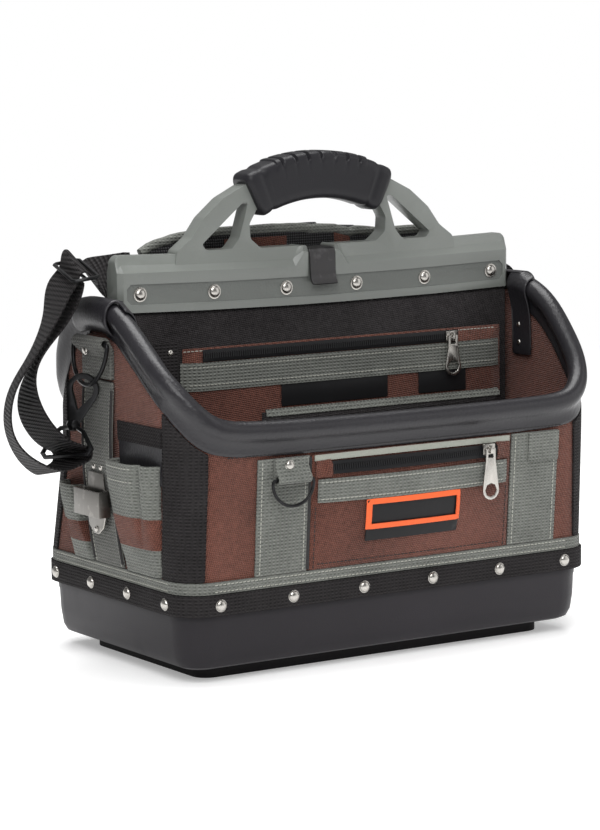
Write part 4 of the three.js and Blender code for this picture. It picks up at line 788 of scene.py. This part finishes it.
class TOTE_OT_foot_band(bpy.types.Operator):
    """Satin strip and grey binding round the foot of the wall, with their rivets"""

    bl_idname = "tote.foot_band"
    bl_label = "Foot band"

    def execute(self, context):
        radius = hard().band_rivet_radius / MM
        publish_eased("base_band", "foot_band", "black", "band", 0.5, smooth=45)
        publish_eased("base_binding", "foot_binding", "grey", "grey_webbing", 0.7, 3, smooth=60)
        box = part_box("base_band")
        height = (box[0][2] + box[1][2]) / 2
        heads = bmesh.new()
        profile = dome_profile(radius, 2.9, 0.5)
        sunk = 0.0022
        for column in (-175, -105, -35, 35, 105, 175):
            for side, face in ((-1, box[0][1]), (1, box[1][1])):
                place = Vector((column * MM, face - side * sunk, height))
                add_turned(heads, profile, place, Vector((0, side, 0)), 20)
        for row in (-93, -31, 31, 93):
            for side, face in ((-1, box[0][0]), (1, box[1][0])):
                place = Vector((face - side * sunk, row * MM, height))
                add_turned(heads, profile, place, Vector((side, 0, 0)), 20)
        publish(heads, "foot_rivets", ("nickel",), "steel", smooth=60)
        return {"FINISHED"}


# Pieces: walls, rims and caps

class TOTE_OT_walls(bpy.types.Operator):
    """Brown twill body wall with a slightly uneven hang, and black webbing round its corners"""

    bl_idname = "tote.walls"
    bl_label = "Walls"

    def execute(self, context):
        wall = quads("body_wall")
        bmesh.ops.subdivide_edges(wall, edges=wall.edges, cuts=1, use_grid_fill=True)
        ripple(wall, 0.25, 14, 3)
        publish(wall, "twill_wall", ("twill",), "twill", ["body_wall"], smooth=50, levels=1)
        for end in ENDS:
            for side in SIDES:
                publish_lofted(f"corner_webbing_{end}_{side}", f"corner_tape_{end}_{side}", "black",
                               "black_webbing", smooth=50, levels=2)
        return {"FINISHED"}


class TOTE_OT_rims(bpy.types.Operator):
    """Coated tube rims, and the caps over their ends"""

    bl_idname = "tote.rims"
    bl_label = "Rims"

    def execute(self, context):
        for end in ENDS:
            rim = quads(f"rim_{end}", 62)
            ripple(rim, 0.25, 22, 5)
            name = f"tube_rim_{end}"
            publish(rim, name, ("vinyl",), "vinyl", [f"rim_{end}"], smooth=60, levels=2)
        for side in SIDES:
            publish_lofted(f"rim_cap_{side}", f"vinyl_cap_{side}", "vinyl", "vinyl", 55,
                           smooth=60, levels=2)
        return {"FINISHED"}


# Pieces: spine, grip and clip

class TOTE_OT_spine(bpy.types.Operator):
    """Moulded spine and arch with rounded edges and a pebbled recess, and collared rivets"""

    bl_idname = "tote.spine"
    bl_label = "Spine"

    def execute(self, context):
        made = flat_copy("spine")
        corners = [edge for edge in sharp_edges(made, 9) if self.across_arch(edge)]
        round_edges(made, corners, 9.0, 5)
        round_edges(made, sharp_edges(made, 24), 1.3, 3)
        recess_low, recess_high = 0.0105, 0.0118
        for face in made.faces:
            depth = abs(face.calc_center_median().y)
            if abs(face.normal.y) > 0.95 and recess_low < depth < recess_high:
                face.material_index = 1
        publish(made, "spine_moulding", ("spine", "recess"), "spine", ["spine"], smooth=32)
        profile = dome_profile(hard().rivet_radius / MM, 3.1, 1.2)
        rivet_depth = 0.0116
        for index in range(1, 7):
            name = f"spine_rivet_{index}"
            low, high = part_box(name)
            column = (low[0] + high[0]) / 2
            height = (low[2] + high[2]) / 2
            pair = bmesh.new()
            for side in (-1, 1):
                place = Vector((column, side * rivet_depth, height))
                add_turned(pair, profile, place, Vector((0, side, 0)), 28)
            publish(pair, f"spine_stud_{index}", ("nickel",), "steel", [name], smooth=50)
        return {"FINISHED"}

    @staticmethod
    def across_arch(edge):
        """An edge that runs from front to back, above the bar."""
        bar_top = 0.335
        run = edge.verts[1].co - edge.verts[0].co
        height = (edge.verts[0].co.z + edge.verts[1].co.z) / 2
        return height > bar_top and abs(run.y) > 0.97 * run.length and run.length > 0.008


class TOTE_OT_grip(bpy.types.Operator):
    """Soft grip over the arch: a swept sleeve with cross grooves on top and a plain band below"""

    bl_idname = "tote.grip"
    bl_label = "Grip"

    def execute(self, context):
        low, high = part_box("grip")
        radius = 0.150
        half_deep = 0.0155
        half_high = 0.020
        centre = Vector((0, 0, high[2] - half_high - radius))
        sweep = math.asin(0.0675 / radius)
        made = bmesh.new()
        upright = Matrix.Rotation(math.pi / 2, 4, "Y")
        bmesh.ops.create_circle(made, cap_ends=False, radius=1.0, segments=36, matrix=upright)
        ring = made.verts[:]
        power = 0.4
        for vertex in ring:
            y = vertex.co.y
            z = vertex.co.z
            vertex.co.y = math.copysign(abs(y) ** power, y) * half_deep
            vertex.co.z = math.copysign(abs(z) ** power, z) * half_high + centre.z + radius
        bmesh.ops.rotate(made, cent=centre, matrix=Matrix.Rotation(-sweep, 3, "Y"), verts=ring)
        bmesh.ops.spin(made, geom=ring + made.edges[:], cent=centre, axis=(0, 1, 0),
                       angle=2 * sweep, steps=120)
        bmesh.ops.remove_doubles(made, verts=made.verts, dist=0.000001)
        bmesh.ops.holes_fill(made, edges=[edge for edge in made.edges if edge.is_boundary], sides=0)
        bmesh.ops.recalc_face_normals(made, faces=made.faces)
        self.shape(made, centre, radius, sweep, half_high)
        publish(made, "grip_sleeve", ("rubber",), "rubber", ["grip"], smooth=38)
        return {"FINISHED"}

    def shape(self, made, centre, radius, sweep, half_high):
        """Presses the grooves into the top, and steps the ends out."""
        ribs = hard().grip_ribs
        depth = hard().groove_depth
        ribbed = 0.6
        for vertex in made.verts:
            spoke = vertex.co - centre
            spoke.y = 0
            angle = math.atan2(spoke.x, spoke.z) / sweep
            out = (spoke.length - radius) / half_high
            place = centre + spoke.normalized() * radius
            away = vertex.co - place
            end = max(0.0, abs(angle) - 0.93) / 0.07
            factor = 1.0 - 0.17 * end ** 2
            factor *= 1.0 - 0.05 * math.exp(-(((abs(angle) - 0.8) / 0.04) ** 2))
            if abs(angle) < ribbed and out > 0.6:
                phase = angle / ribbed * ribs / 2
                groove = math.exp(-(((phase - round(phase)) / 0.085) ** 4))
                rise = min(1.0, (out - 0.6) / 0.18)
                factor += 0.06 * rise - groove * rise * depth / half_high
            elif abs(angle) < 0.74 and abs(out) < 0.34:
                factor *= 0.95
            vertex.co = place + away * factor


class TOTE_OT_clip(bpy.types.Operator):
    """Bent steel clip hung over the middle of the spine"""

    bl_idname = "tote.clip"
    bl_label = "Spine clip"

    def execute(self, context):
        publish_lofted("spine_clip", "clip_strip", "dark steel", "dark_steel", 60,
                       smooth=50, levels=2)
        return {"FINISHED"}


# Pieces: webbing and fittings

class TOTE_OT_webbing(bpy.types.Operator):
    """Grey webbing strips, the loops that hold the rings, and the trim at the sides"""

    bl_idname = "tote.webbing"
    bl_label = "Webbing"

    def execute(self, context):
        for end in ENDS:
            for side in SIDES:
                publish_eased(f"{end}_strap_{side}", f"{end}_tape_{side}", "grey", "grey_webbing",
                              0.6, 2, 40, smooth=50)
        for side in SIDES:
            publish_lofted(f"side_strap_{side}", f"side_tape_{side}", "side grey", "grey_webbing",
                           smooth=50, levels=2)
            publish_eased(f"side_ring_tab_{side}", f"side_loop_{side}", "side grey", "grey_webbing",
                          0.5, 2, 40, smooth=50)
            self.side_trim(side, LEFT if side == "left" else RIGHT)
        publish_eased("front_ring_tab", "front_ring_loop", "grey", "grey_webbing", 0.5, 2, 40,
                      smooth=50)
        return {"FINISHED"}

    def side_trim(self, side, facing):
        """Piping down both edges of a side tape, and a dark band over a patch on the wall."""
        tree = surface_of(f"side_tape_{side}")
        piping = bmesh.new()
        for edge in (-23.5, 23.5):
            line = laid_line(tree, [(edge, 90), (edge, 236)], facing, 8)
            add_tube(piping, [place for place, _ in line], 0.0015, 8)
        publish(piping, f"side_piping_{side}", ("dark thread",), "black_webbing", smooth=70)
        wall = surface_of("twill_wall", f"corner_tape_front_{side}")
        band = (-100, -28, 196, 212, facing, 1.2, 0.2, 10, 3)
        publish_sheets(f"side_band_{side}", "black", "black_webbing", wall, [band])
        patch = (-98, -29, 165, 196, facing, 0.7, 0.15, 8, 4)
        publish_sheets(f"side_patch_{side}", "vinyl", "vinyl", wall, [patch])


class TOTE_OT_fittings(bpy.types.Operator):
    """Rings, hooks, strap slider, tape holder and zip pulls"""

    bl_idname = "tote.fittings"
    bl_label = "Fittings"

    def execute(self, context):
        dark = ("black metal", "black_metal")
        for side in SIDES:
            publish_lofted(f"side_ring_{side}", f"side_dee_{side}", *dark, 80, smooth=80, levels=2)
            publish_eased(f"snap_hook_{side}", f"hook_{side}", *dark, 0.9, 3, 40, smooth=60)
        publish_lofted("front_ring", "front_dee", *dark, 80, body="ring", smooth=80, levels=2)
        publish_eased("strap_slider", "strap_frame", *dark, 0.5, 2, 50, smooth=80)
        self.tape_holder()
        for name, body in (("front_zip_pull", "pull_front"), ("panel_zip_pull", "pull_panel")):
            tab = name.replace("_zip", "_tab")
            publish_eased(name, tab, "nickel", "steel", 0.45, 3, 35, body=body, smooth=40)
        for name in ("front_zip_slider", "panel_zip_slider"):
            runner = name.replace("_zip", "_runner")
            publish_eased(name, runner, "nickel", "steel", 0.35, 2, 35, smooth=40)
        return {"FINISHED"}

    def tape_holder(self):
        """The steel sleeve, with a bright foot, and a painted highlight on the upward faces of the
        lip round its mouth.
        """
        holder = eased("tape_holder", 0.5, 3, 35)
        low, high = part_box("tape_holder")
        foot = low[2] + 0.0145
        mouth = high[2] - 0.014
        for face in holder.faces:
            height = face.calc_center_median().z
            # Nickel on the foot, and on the lip's upward faces as a painted highlight.
            if height < foot or (face.normal.z > 0.3 and abs(height - mouth) < 0.0012):
                face.material_index = 1
        kinds = ("holder steel", "nickel")
        publish(holder, "tape_sleeve", kinds, "dark_steel", ["tape_holder"], smooth=40)


class TOTE_OT_straps(bpy.types.Operator):
    """Shoulder strap webbing at both ends of the pad"""

    bl_idname = "tote.straps"
    bl_label = "Straps"

    def execute(self, context):
        for side in SIDES:
            publish_lofted(f"strap_{side}", f"shoulder_tape_{side}", "strap", "black_webbing", 65,
                           smooth=60, levels=2)
        return {"FINISHED"}


class TOTE_OT_pad(bpy.types.Operator):
    """Padded shoulder pad in open knit, with twill panels and a stitched binding on its crest"""

    bl_idname = "tote.pad"
    bl_label = "Shoulder pad"

    def execute(self, context):
        made = merged_copy("shoulder_pad")
        pad = publish(made, "pad_core", ("knit",), "pad_mesh", ["shoulder_pad"], smooth=80)
        self.swell(pad)
        for polygon in pad.data.polygons:
            polygon.use_smooth = True
        self.dress()
        return {"FINISHED"}

    def swell(self, pad):
        """Remeshes the pad and lets cloth pressure round it a little, then fixes the result."""
        furthest = 0.0028
        bpy.context.view_layer.objects.active = pad
        remesh = pad.modifiers.new("Voxels", "REMESH")
        remesh.mode = "VOXEL"
        remesh.voxel_size = 0.0045
        bpy.ops.object.modifier_apply(modifier=remesh.name)
        start = [vertex.co.copy() for vertex in pad.data.vertices]
        soft = pad.modifiers.new("Cloth", "CLOTH")
        soft.settings.use_pressure = True
        soft.settings.uniform_pressure_force = 4.0
        soft.settings.effector_weights.gravity = 0.0
        scene = bpy.context.scene
        for number in range(1, 21):
            scene.frame_set(number)
        graph = bpy.context.evaluated_depsgraph_get()
        swollen = [vertex.co.copy() for vertex in pad.evaluated_get(graph).data.vertices]
        pad.modifiers.remove(soft)
        scene.frame_set(1)
        low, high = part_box("shoulder_pad")
        for vertex, before, after in zip(pad.data.vertices, start, swollen):
            shift = after - before
            if shift.length > furthest:
                shift = shift.normalized() * furthest
            place = before + shift
            place.y = max(place.y, low[1] - 0.0004)
            vertex.co = place

    def dress(self):
        """Lays twill panels on both faces, and the binding along the crest."""
        tree = surface_of("pad_core")
        sheets = []
        for left, right in ((-128, -82), (-62, -14), (26, 66), (98, 138)):
            sheets.append((left, right, 308, 340, BACK, 0.8, 0.3, 10, 6))
            sheets.append((left, right, 322, 342, FRONT, 0.8, 0.3, 10, 3))
        for edges in ((-134, -84, 335, 345), (-80, -16, 341, 352), (34, 50, 342, 353)):
            sheets.append((*edges, FRONT, 0.8, 0.35, 10, 3))
        publish_sheets("pad_panels", "twill", "twill", tree, sheets, 60)
        crest = []
        for step in range(41):
            across = -160 + step * 7.8
            place = laid_point(tree, across, 22, UP)[0] or laid_point(tree, across, 19, UP)[0]
            if place is not None:
                crest.append(place + UP * 0.0004)
        binding = bmesh.new()
        add_tube(binding, crest, 0.0042, 10)
        publish(binding, "pad_binding", ("grey",), "grey_webbing", smooth=70)


# Pieces: pockets

class TOTE_OT_front_pocket(bpy.types.Operator):
    """Front pocket with its zip, tape, piping, blank label and tabs"""

    bl_idname = "tote.front_pocket"
    bl_label = "Front pocket"

    def execute(self, context):
        publish_lofted("front_pocket", "pocket_front", "twill", "twill", smooth=60, levels=2)
        publish_lofted("front_zip", "front_closure", "coil", "label", smooth=50, levels=1)
        publish_lofted("front_zip_tape", "front_closure_tape", "grey", "grey_webbing",
                       smooth=50, levels=1)
        publish_lofted("front_label", "front_patch", "coil", "label", smooth=50, levels=1)
        tree = surface_of("pocket_front", "front_closure", "front_closure_tape", "front_patch")
        border = bmesh.new()
        low, high = self.flat_box("front_label")
        edges = (low[0] - 0.4, high[0] + 0.4, low[2] + 10.5, high[2] + 0.4)
        add_frame(border, tree, *edges, FRONT, 4.2, 1.1, 1.1)
        publish(border, "front_patch_border", ("border",), "label", smooth=50)
        self.teeth(tree, "front_zip", "front_teeth")
        low, high = self.flat_box("front_zip")
        tabs = []
        for left, right in ((low[0] - 10, low[0] + 4), (high[0] - 4, high[0] + 10)):
            tabs.append((left, right, low[2] - 2, high[2] + 1, FRONT, 0.9, 0.9, 4, 4))
        publish_sheets("front_zip_tabs", "twill", "twill", tree, tabs)
        piping = (-87, 111, 178.4, 183.2, FRONT, 1.2, 0.2, 24, 2)
        publish_sheets("front_piping", "piping", "grey_webbing", tree, [piping], 70)
        # A dark thread tube down the pocket's left edge: painted shadow in the fold there.
        fold = bmesh.new()
        line = laid_line(surface_of("twill_wall"), [(-90.5, 88), (-90.5, 182)], FRONT, 8)
        add_tube(fold, [place + normal * 0.0012 for place, normal in line], 0.0019, 8)
        publish(fold, "front_fold_shadow", ("dark thread",), "black_webbing", smooth=70)
        strap = surface_of("front_tape_right")
        doubled = (132, 164, 158, 183, FRONT, 1.6, 0.1, 6, 4)
        publish_sheets("front_tape_end", "grey", "grey_webbing", strap, [doubled])
        return {"FINISHED"}

    @staticmethod
    def flat_box(node):
        """The two corners of a node's box, in millimetres."""
        return [[part / MM for part in corner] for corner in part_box(node)]

    @staticmethod
    def teeth(tree, node, name):
        """Coil teeth along the middle of a zip."""
        low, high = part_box(node)
        middle = (low[2] + high[2]) / 2 / MM
        size = (0.0013, 0.0046, 0.0012)
        made = bmesh.new()
        for index in range(int((high[0] - low[0]) / 0.0022)):
            across = low[0] / MM + 1.1 + index * 2.2
            place, normal = laid_point(tree, across, middle, FRONT)
            if place is not None:
                add_block(made, basis(place + normal * 0.0003, RIGHT, normal), size)
        publish(made, name, ("coil",), "label", smooth=40)


class TOTE_OT_side_pockets(bpy.types.Operator):
    """Side pockets with grey folded mouths, a grey middle band and a pleat"""

    bl_idname = "tote.side_pockets"
    bl_label = "Side pockets"

    def execute(self, context):
        for end in ENDS:
            for side in SIDES:
                name = f"side_pocket_{end}_{side}"
                low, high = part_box(name)
                pocket = quads(name)
                height = high[2] - low[2]
                bmesh.ops.subdivide_edges(pocket, edges=pocket.edges, cuts=1, use_grid_fill=True)
                for share in (0.84, 0.52, 0.27):
                    self.cut(pocket, (0, 0, low[2] + height * share), UP)
                for face in pocket.faces:
                    share = (face.calc_center_median().z - low[2]) / height
                    face.material_index = int(share > 0.52 or share < 0.27)
                self.pleat(pocket, low, high)
                ripple(pocket, 0.7, 18, 11)
                kinds = ("twill", "grey")
                publish(pocket, f"pocket_{end}_{side}", kinds, "twill", [name], smooth=60, levels=1)
        return {"FINISHED"}

    @staticmethod
    def cut(pocket, place, across):
        """Adds edges to the pocket where a plane meets it."""
        everything = pocket.verts[:] + pocket.edges[:] + pocket.faces[:]
        bmesh.ops.bisect_plane(pocket, geom=everything, plane_co=place, plane_no=across)

    def pleat(self, pocket, low, high):
        """Presses an upright fold into the outer cloth, and leans the left front pocket."""
        side = 1 if low[0] > 0 else -1
        wall = low[0] if side > 0 else high[0]
        far, near = (low[1], high[1]) if low[1] < 0 else (high[1], low[1])
        wide = far - near
        fold = 0.72
        for share in (0.6, 0.66, fold, 0.78, 0.84):
            self.cut(pocket, (0, near + wide * share, 0), BACK)
        for vertex in pocket.verts:
            share = (vertex.co.y - near) / wide
            if far < 0 and side < 0:
                up = (vertex.co.z - low[2]) / (high[2] - low[2])
                vertex.co.y -= 0.0135 * up * max(0.0, share)
            room = (vertex.co.x - wall) * side - 0.009
            if room > 0:
                depth = 0.55 * room * math.exp(-(((share - fold) / 0.06) ** 2))
                vertex.co.x -= side * depth


class TOTE_OT_panel(bpy.types.Operator):
    """Centre panel with its zipped pocket, grey tape, low pocket and blank patches"""

    bl_idname = "tote.panel"
    bl_label = "Centre panel"

    def execute(self, context):
        publish_eased("centre_panel", "panel_board", "panel", "black_webbing", 1.2, smooth=45)
        for name, kind, slot in (
            ("pocket", "twill", "twill"),
            ("low_pocket", "panel", "black_webbing"),
            ("rear_pocket", "panel", "black_webbing"),
            ("zip", "coil", "label"),
            ("label", "coil", "label"),
            ("tag", "coil", "label"),
        ):
            publish_eased(f"panel_{name}", f"inner_{name}", kind, slot, 0.6, 2, 20, smooth=50)
        tree = surface_of("panel_board", "inner_pocket", "inner_low_pocket", "inner_zip",
                          "inner_label", "inner_tag")
        TOTE_OT_front_pocket.teeth(tree, "panel_zip", "inner_teeth")
        upper = (-142, 186, 228, 252, FRONT, 1.0, 0.2, 60, 3)
        lower = (-62, 184, 201, 207, FRONT, 1.0, 0.2, 50, 2)
        publish_sheets("inner_tape", "grey", "grey_webbing", tree, [upper, lower])
        column = (-174, -144, 90, 270, FRONT, 1.2, 0.2, 4, 12)
        publish_sheets("inner_edge_tape", "black", "black_webbing", tree, [column])
        return {"FINISHED"}


# Stitching and rivets

class TOTE_OT_stitching(bpy.types.Operator):
    """Rows of stitches on the webbing, pockets, binding, rims and caps"""

    bl_idname = "tote.stitching"
    bl_label = "Stitching"

    def execute(self, context):
        tree = surface_of(
            "front_tape_left", "front_tape_right", "rear_tape_left", "rear_tape_right",
            "pocket_front", "front_closure_tape", "foot_binding", "twill_wall",
            "front_patch_border", "tube_rim_front", "tube_rim_rear", "inner_tape", "inner_pocket",
            "inner_low_pocket", "panel_board", "side_tape_left", "side_tape_right",
            "side_loop_left", "side_loop_right", "pocket_front_left", "pocket_rear_left",
            "pocket_front_right", "pocket_rear_right",
        )
        uprights = [[(across, 89), (across, 180)] for across in (-137, -95, 118.5, 160.5)]
        pocket = [[(-80, up), (104, up)] for up in (146, 160)]
        binding = [[(-178, up), (178, up)] for up in (84, 78.3)]
        inner = [[(left, up), (184, up)] for left, up in ((-134, 233), (-134, 248), (-138, 261.6))]
        sides = [[(across, 89), (across, 236)] for across in (-21, 21)]
        sides += [[(-94, up), (94, up)] for up in (84, 78.3)]
        sides += [[(-70, up), (-30, up)] for up in (166, 177)]
        light = [(row, FRONT) for row in uprights + pocket + binding + inner]
        light += [(row, BACK) for row in uprights + binding]
        light += [(row, facing) for row in sides for facing in (LEFT, RIGHT)]
        self.sew("stitching_light", "thread", "grey_webbing", tree, light)
        dark = [([(across, 89), (across, 140)], FRONT) for across in (-85, 109)]
        dark.append(([(-80, 91), (104, 91)], FRONT))
        dark += [([(-168, 187.5), (168, 187.5)], facing) for facing in (FRONT, BACK)]
        dark.append(([(-40, 274), (-48, 267), (-69, 252), (-88, 238)], LEFT))
        dark.append(([(-52, 273), (-69, 263)], RIGHT))
        self.sew("stitching_dark", "dark thread", "black_webbing", tree, dark)
        return {"FINISHED"}

    @staticmethod
    def sew(name, kind, slot, tree, rows):
        made = bmesh.new()
        for row, facing in rows:
            add_stitches(made, laid_line(tree, row, facing), cloth())
        publish(made, name, (kind,), slot, smooth=30)


class TOTE_OT_small_rivets(bpy.types.Operator):
    """Rivets on the ring loops, tape holder, side tapes and inner cap tails"""

    bl_idname = "tote.small_rivets"
    bl_label = "Small rivets"

    def execute(self, context):
        tree = surface_of(
            "front_ring_loop", "front_tape_left", "side_loop_left", "side_loop_right",
            "side_tape_left", "side_tape_right", "tape_sleeve", "vinyl_cap_left",
            "vinyl_cap_right", "inner_edge_tape",
        )
        profile = dome_profile(3.9, 2.4, 0.5)
        small = dome_profile(2.2, 1.3, 0.3)
        spots = [
            (-114, 178, FRONT, profile),
            (9, 268, LEFT, profile),
            (9, 268, RIGHT, profile),
            (-6, 170, LEFT, small),
            (6, 170, LEFT, small),
            (0, 118, LEFT, small),
            (-152, 262, FRONT, small),
        ]
        inner = [(side, row, up) for side in (-1, 1) for row in (-24, 24) for up in (248, 264)]
        made = bmesh.new()
        for across, up, facing, shape in spots:
            place, _ = laid_point(tree, across, up, facing)
            if place is None:
                raise RuntimeError(f"nothing under the rivet at {across}, {up}")
            add_turned(made, shape, place + facing * 0.0002, facing, 20)
        for side, row, up in inner:
            start = Vector((0, row * MM, up * MM))
            place = tree.ray_cast(start, Vector((side, 0, 0)))[0]
            if place is None:
                raise RuntimeError(f"no tail behind the rivet at {row}, {up}")
            add_turned(made, small, place, Vector((-side, 0, 0)), 16)
        publish(made, "small_rivets", ("nickel",), "steel", smooth=55)
        return {"FINISHED"}


# Stage

class TOTE_OT_stage(bpy.types.Operator):
    """Pale floor, soft lights and the camera"""

    bl_idname = "tote.stage"
    bl_label = "Stage"

    def execute(self, context):
        settings = studio()
        self.floor(settings)
        self.sky(settings)
        self.light("Key light", (-1.6, -2.2, 2.6), 2.4, settings.key_power)
        self.light("Fill light", (2.6, -1.8, 1.4), 2.6, settings.fill_power)
        self.light("Top light", (0.2, 0.4, 2.8), 2.0, settings.top_power)
        self.camera(settings, Vector((-0.0086, 0, 0.1978)))
        return {"FINISHED"}

    def floor(self, settings):
        made = bmesh.new()
        bmesh.ops.create_grid(made, x_segments=8, y_segments=8, size=settings.floor_size / 2)
        mesh = bpy.data.meshes.new("floor")
        made.to_mesh(mesh)
        made.free()
        floor = bpy.data.objects.new("floor", mesh)
        bpy.context.scene.collection.objects.link(floor)
        material, wires, shader = start_material("studio floor")
        place = wires.place()
        mottle = wires.noise(place, 3, 2)
        pale = settings.floor_colour
        near = wires.tint(mottle, scaled(pale, 0.99), scaled(pale, 1.01))
        length = wires.node("ShaderNodeVectorMath", operation="LENGTH")
        wires.link(place, length.inputs[0])
        far = wires.remap(length.outputs["Value"], settings.fade_start, settings.fade_end)
        glow = settings.floor_glow
        wires.fill(shader, {
            "Base Color": wires.tint(far, near, (0, 0, 0, 1)),
            "Emission Color": wires.tint(far, (glow, glow, glow, 1), (1, 1, 1, 1)),
            "Emission Strength": 1.0,
            "Roughness": 0.9,
            "Specular IOR Level": 0.0,
        })
        mesh.materials.append(material)

    def sky(self, settings):
        world = bpy.data.worlds.new("studio surroundings")
        world.use_nodes = True
        wires = Wires(world.node_tree)
        background = world.node_tree.nodes["Background"]
        background.inputs["Color"].default_value = (1, 1, 1, 1)
        seen = wires.node("ShaderNodeLightPath").outputs["Is Camera Ray"]
        wires.link(wires.blend(seen, settings.sky, 1.0), background.inputs["Strength"])
        bpy.context.scene.world = world
        bpy.context.scene.view_settings.view_transform = "Standard"

    def light(self, name, place, size, power):
        lamp = bpy.data.lights.new(name, "AREA")
        lamp.size = size
        lamp.energy = power
        holder = bpy.data.objects.new(name, lamp)
        holder.location = place
        holder.rotation_mode = "QUATERNION"
        towards = Vector((0, 0, 0.2)) - Vector(place)
        holder.rotation_quaternion = towards.to_track_quat("-Z", "Y")
        bpy.context.scene.collection.objects.link(holder)

    def camera(self, settings, target):
        azimuth = math.radians(settings.azimuth)
        elevation = math.radians(settings.elevation)
        roll = math.radians(settings.roll)
        back = Vector((
            math.sin(azimuth) * math.cos(elevation),
            -math.cos(azimuth) * math.cos(elevation),
            math.sin(elevation),
        ))
        level = (-back).cross(UP).normalized()
        upward = level.cross(-back)
        right = level * math.cos(roll) + upward * math.sin(roll)
        upright = upward * math.cos(roll) - level * math.sin(roll)
        lens = bpy.data.cameras.new("Camera")
        lens.lens = settings.lens
        lens.sensor_width = 36
        lens.sensor_fit = "AUTO"
        lens.shift_x = settings.shift_x
        lens.shift_y = settings.shift_y
        lens.clip_end = 60
        holder = bpy.data.objects.new("Camera", lens)
        turn = Matrix((right, upright, back)).transposed().to_4x4()
        turn.translation = target + back * settings.distance
        holder.matrix_world = turn
        bpy.context.scene.collection.objects.link(holder)
        bpy.context.scene.camera = holder


PIECE_OPERATORS = (
    TOTE_OT_tray,
    TOTE_OT_foot_band,
    TOTE_OT_walls,
    TOTE_OT_rims,
    TOTE_OT_spine,
    TOTE_OT_grip,
    TOTE_OT_clip,
    TOTE_OT_webbing,
    TOTE_OT_fittings,
    TOTE_OT_straps,
    TOTE_OT_pad,
    TOTE_OT_front_pocket,
    TOTE_OT_side_pockets,
    TOTE_OT_panel,
    TOTE_OT_stitching,
    TOTE_OT_small_rivets,
    TOTE_OT_stage,
)
SETTINGS = (ToteClothSettings, ToteHardSettings, ToteStageSettings)


class TOTE_PT_panel(bpy.types.Panel):
    """Sizes, colours and the operators that build each piece"""

    bl_idname = "TOTE_PT_panel"
    bl_label = "Open top tool tote"
    bl_space_type = "VIEW_3D"
    bl_region_type = "UI"
    bl_category = "Tote"

    def draw(self, context):
        layout = self.layout
        for settings in (cloth(), hard(), studio()):
            box = layout.box()
            for name in settings.bl_rna.properties.keys():
                if name not in ("rna_type", "name"):
                    box.prop(settings, name)
        for piece in PIECE_OPERATORS:
            layout.operator(piece.bl_idname)


def register():
    for kind in (*SETTINGS, *PIECE_OPERATORS, TOTE_PT_panel):
        bpy.utils.register_class(kind)
    bpy.types.Scene.tote_cloth = PointerProperty(type=ToteClothSettings)
    bpy.types.Scene.tote_hard = PointerProperty(type=ToteHardSettings)
    bpy.types.Scene.tote_stage = PointerProperty(type=ToteStageSettings)


def unregister():
    del bpy.types.Scene.tote_stage
    del bpy.types.Scene.tote_hard
    del bpy.types.Scene.tote_cloth
    for kind in reversed((*SETTINGS, *PIECE_OPERATORS, TOTE_PT_panel)):
        bpy.utils.unregister_class(kind)


def main():
    register()
    for piece in PIECE_OPERATORS:
        family, name = piece.bl_idname.split(".")
        getattr(getattr(bpy.ops, family), name)()


if __name__ == "__main__":
    main()
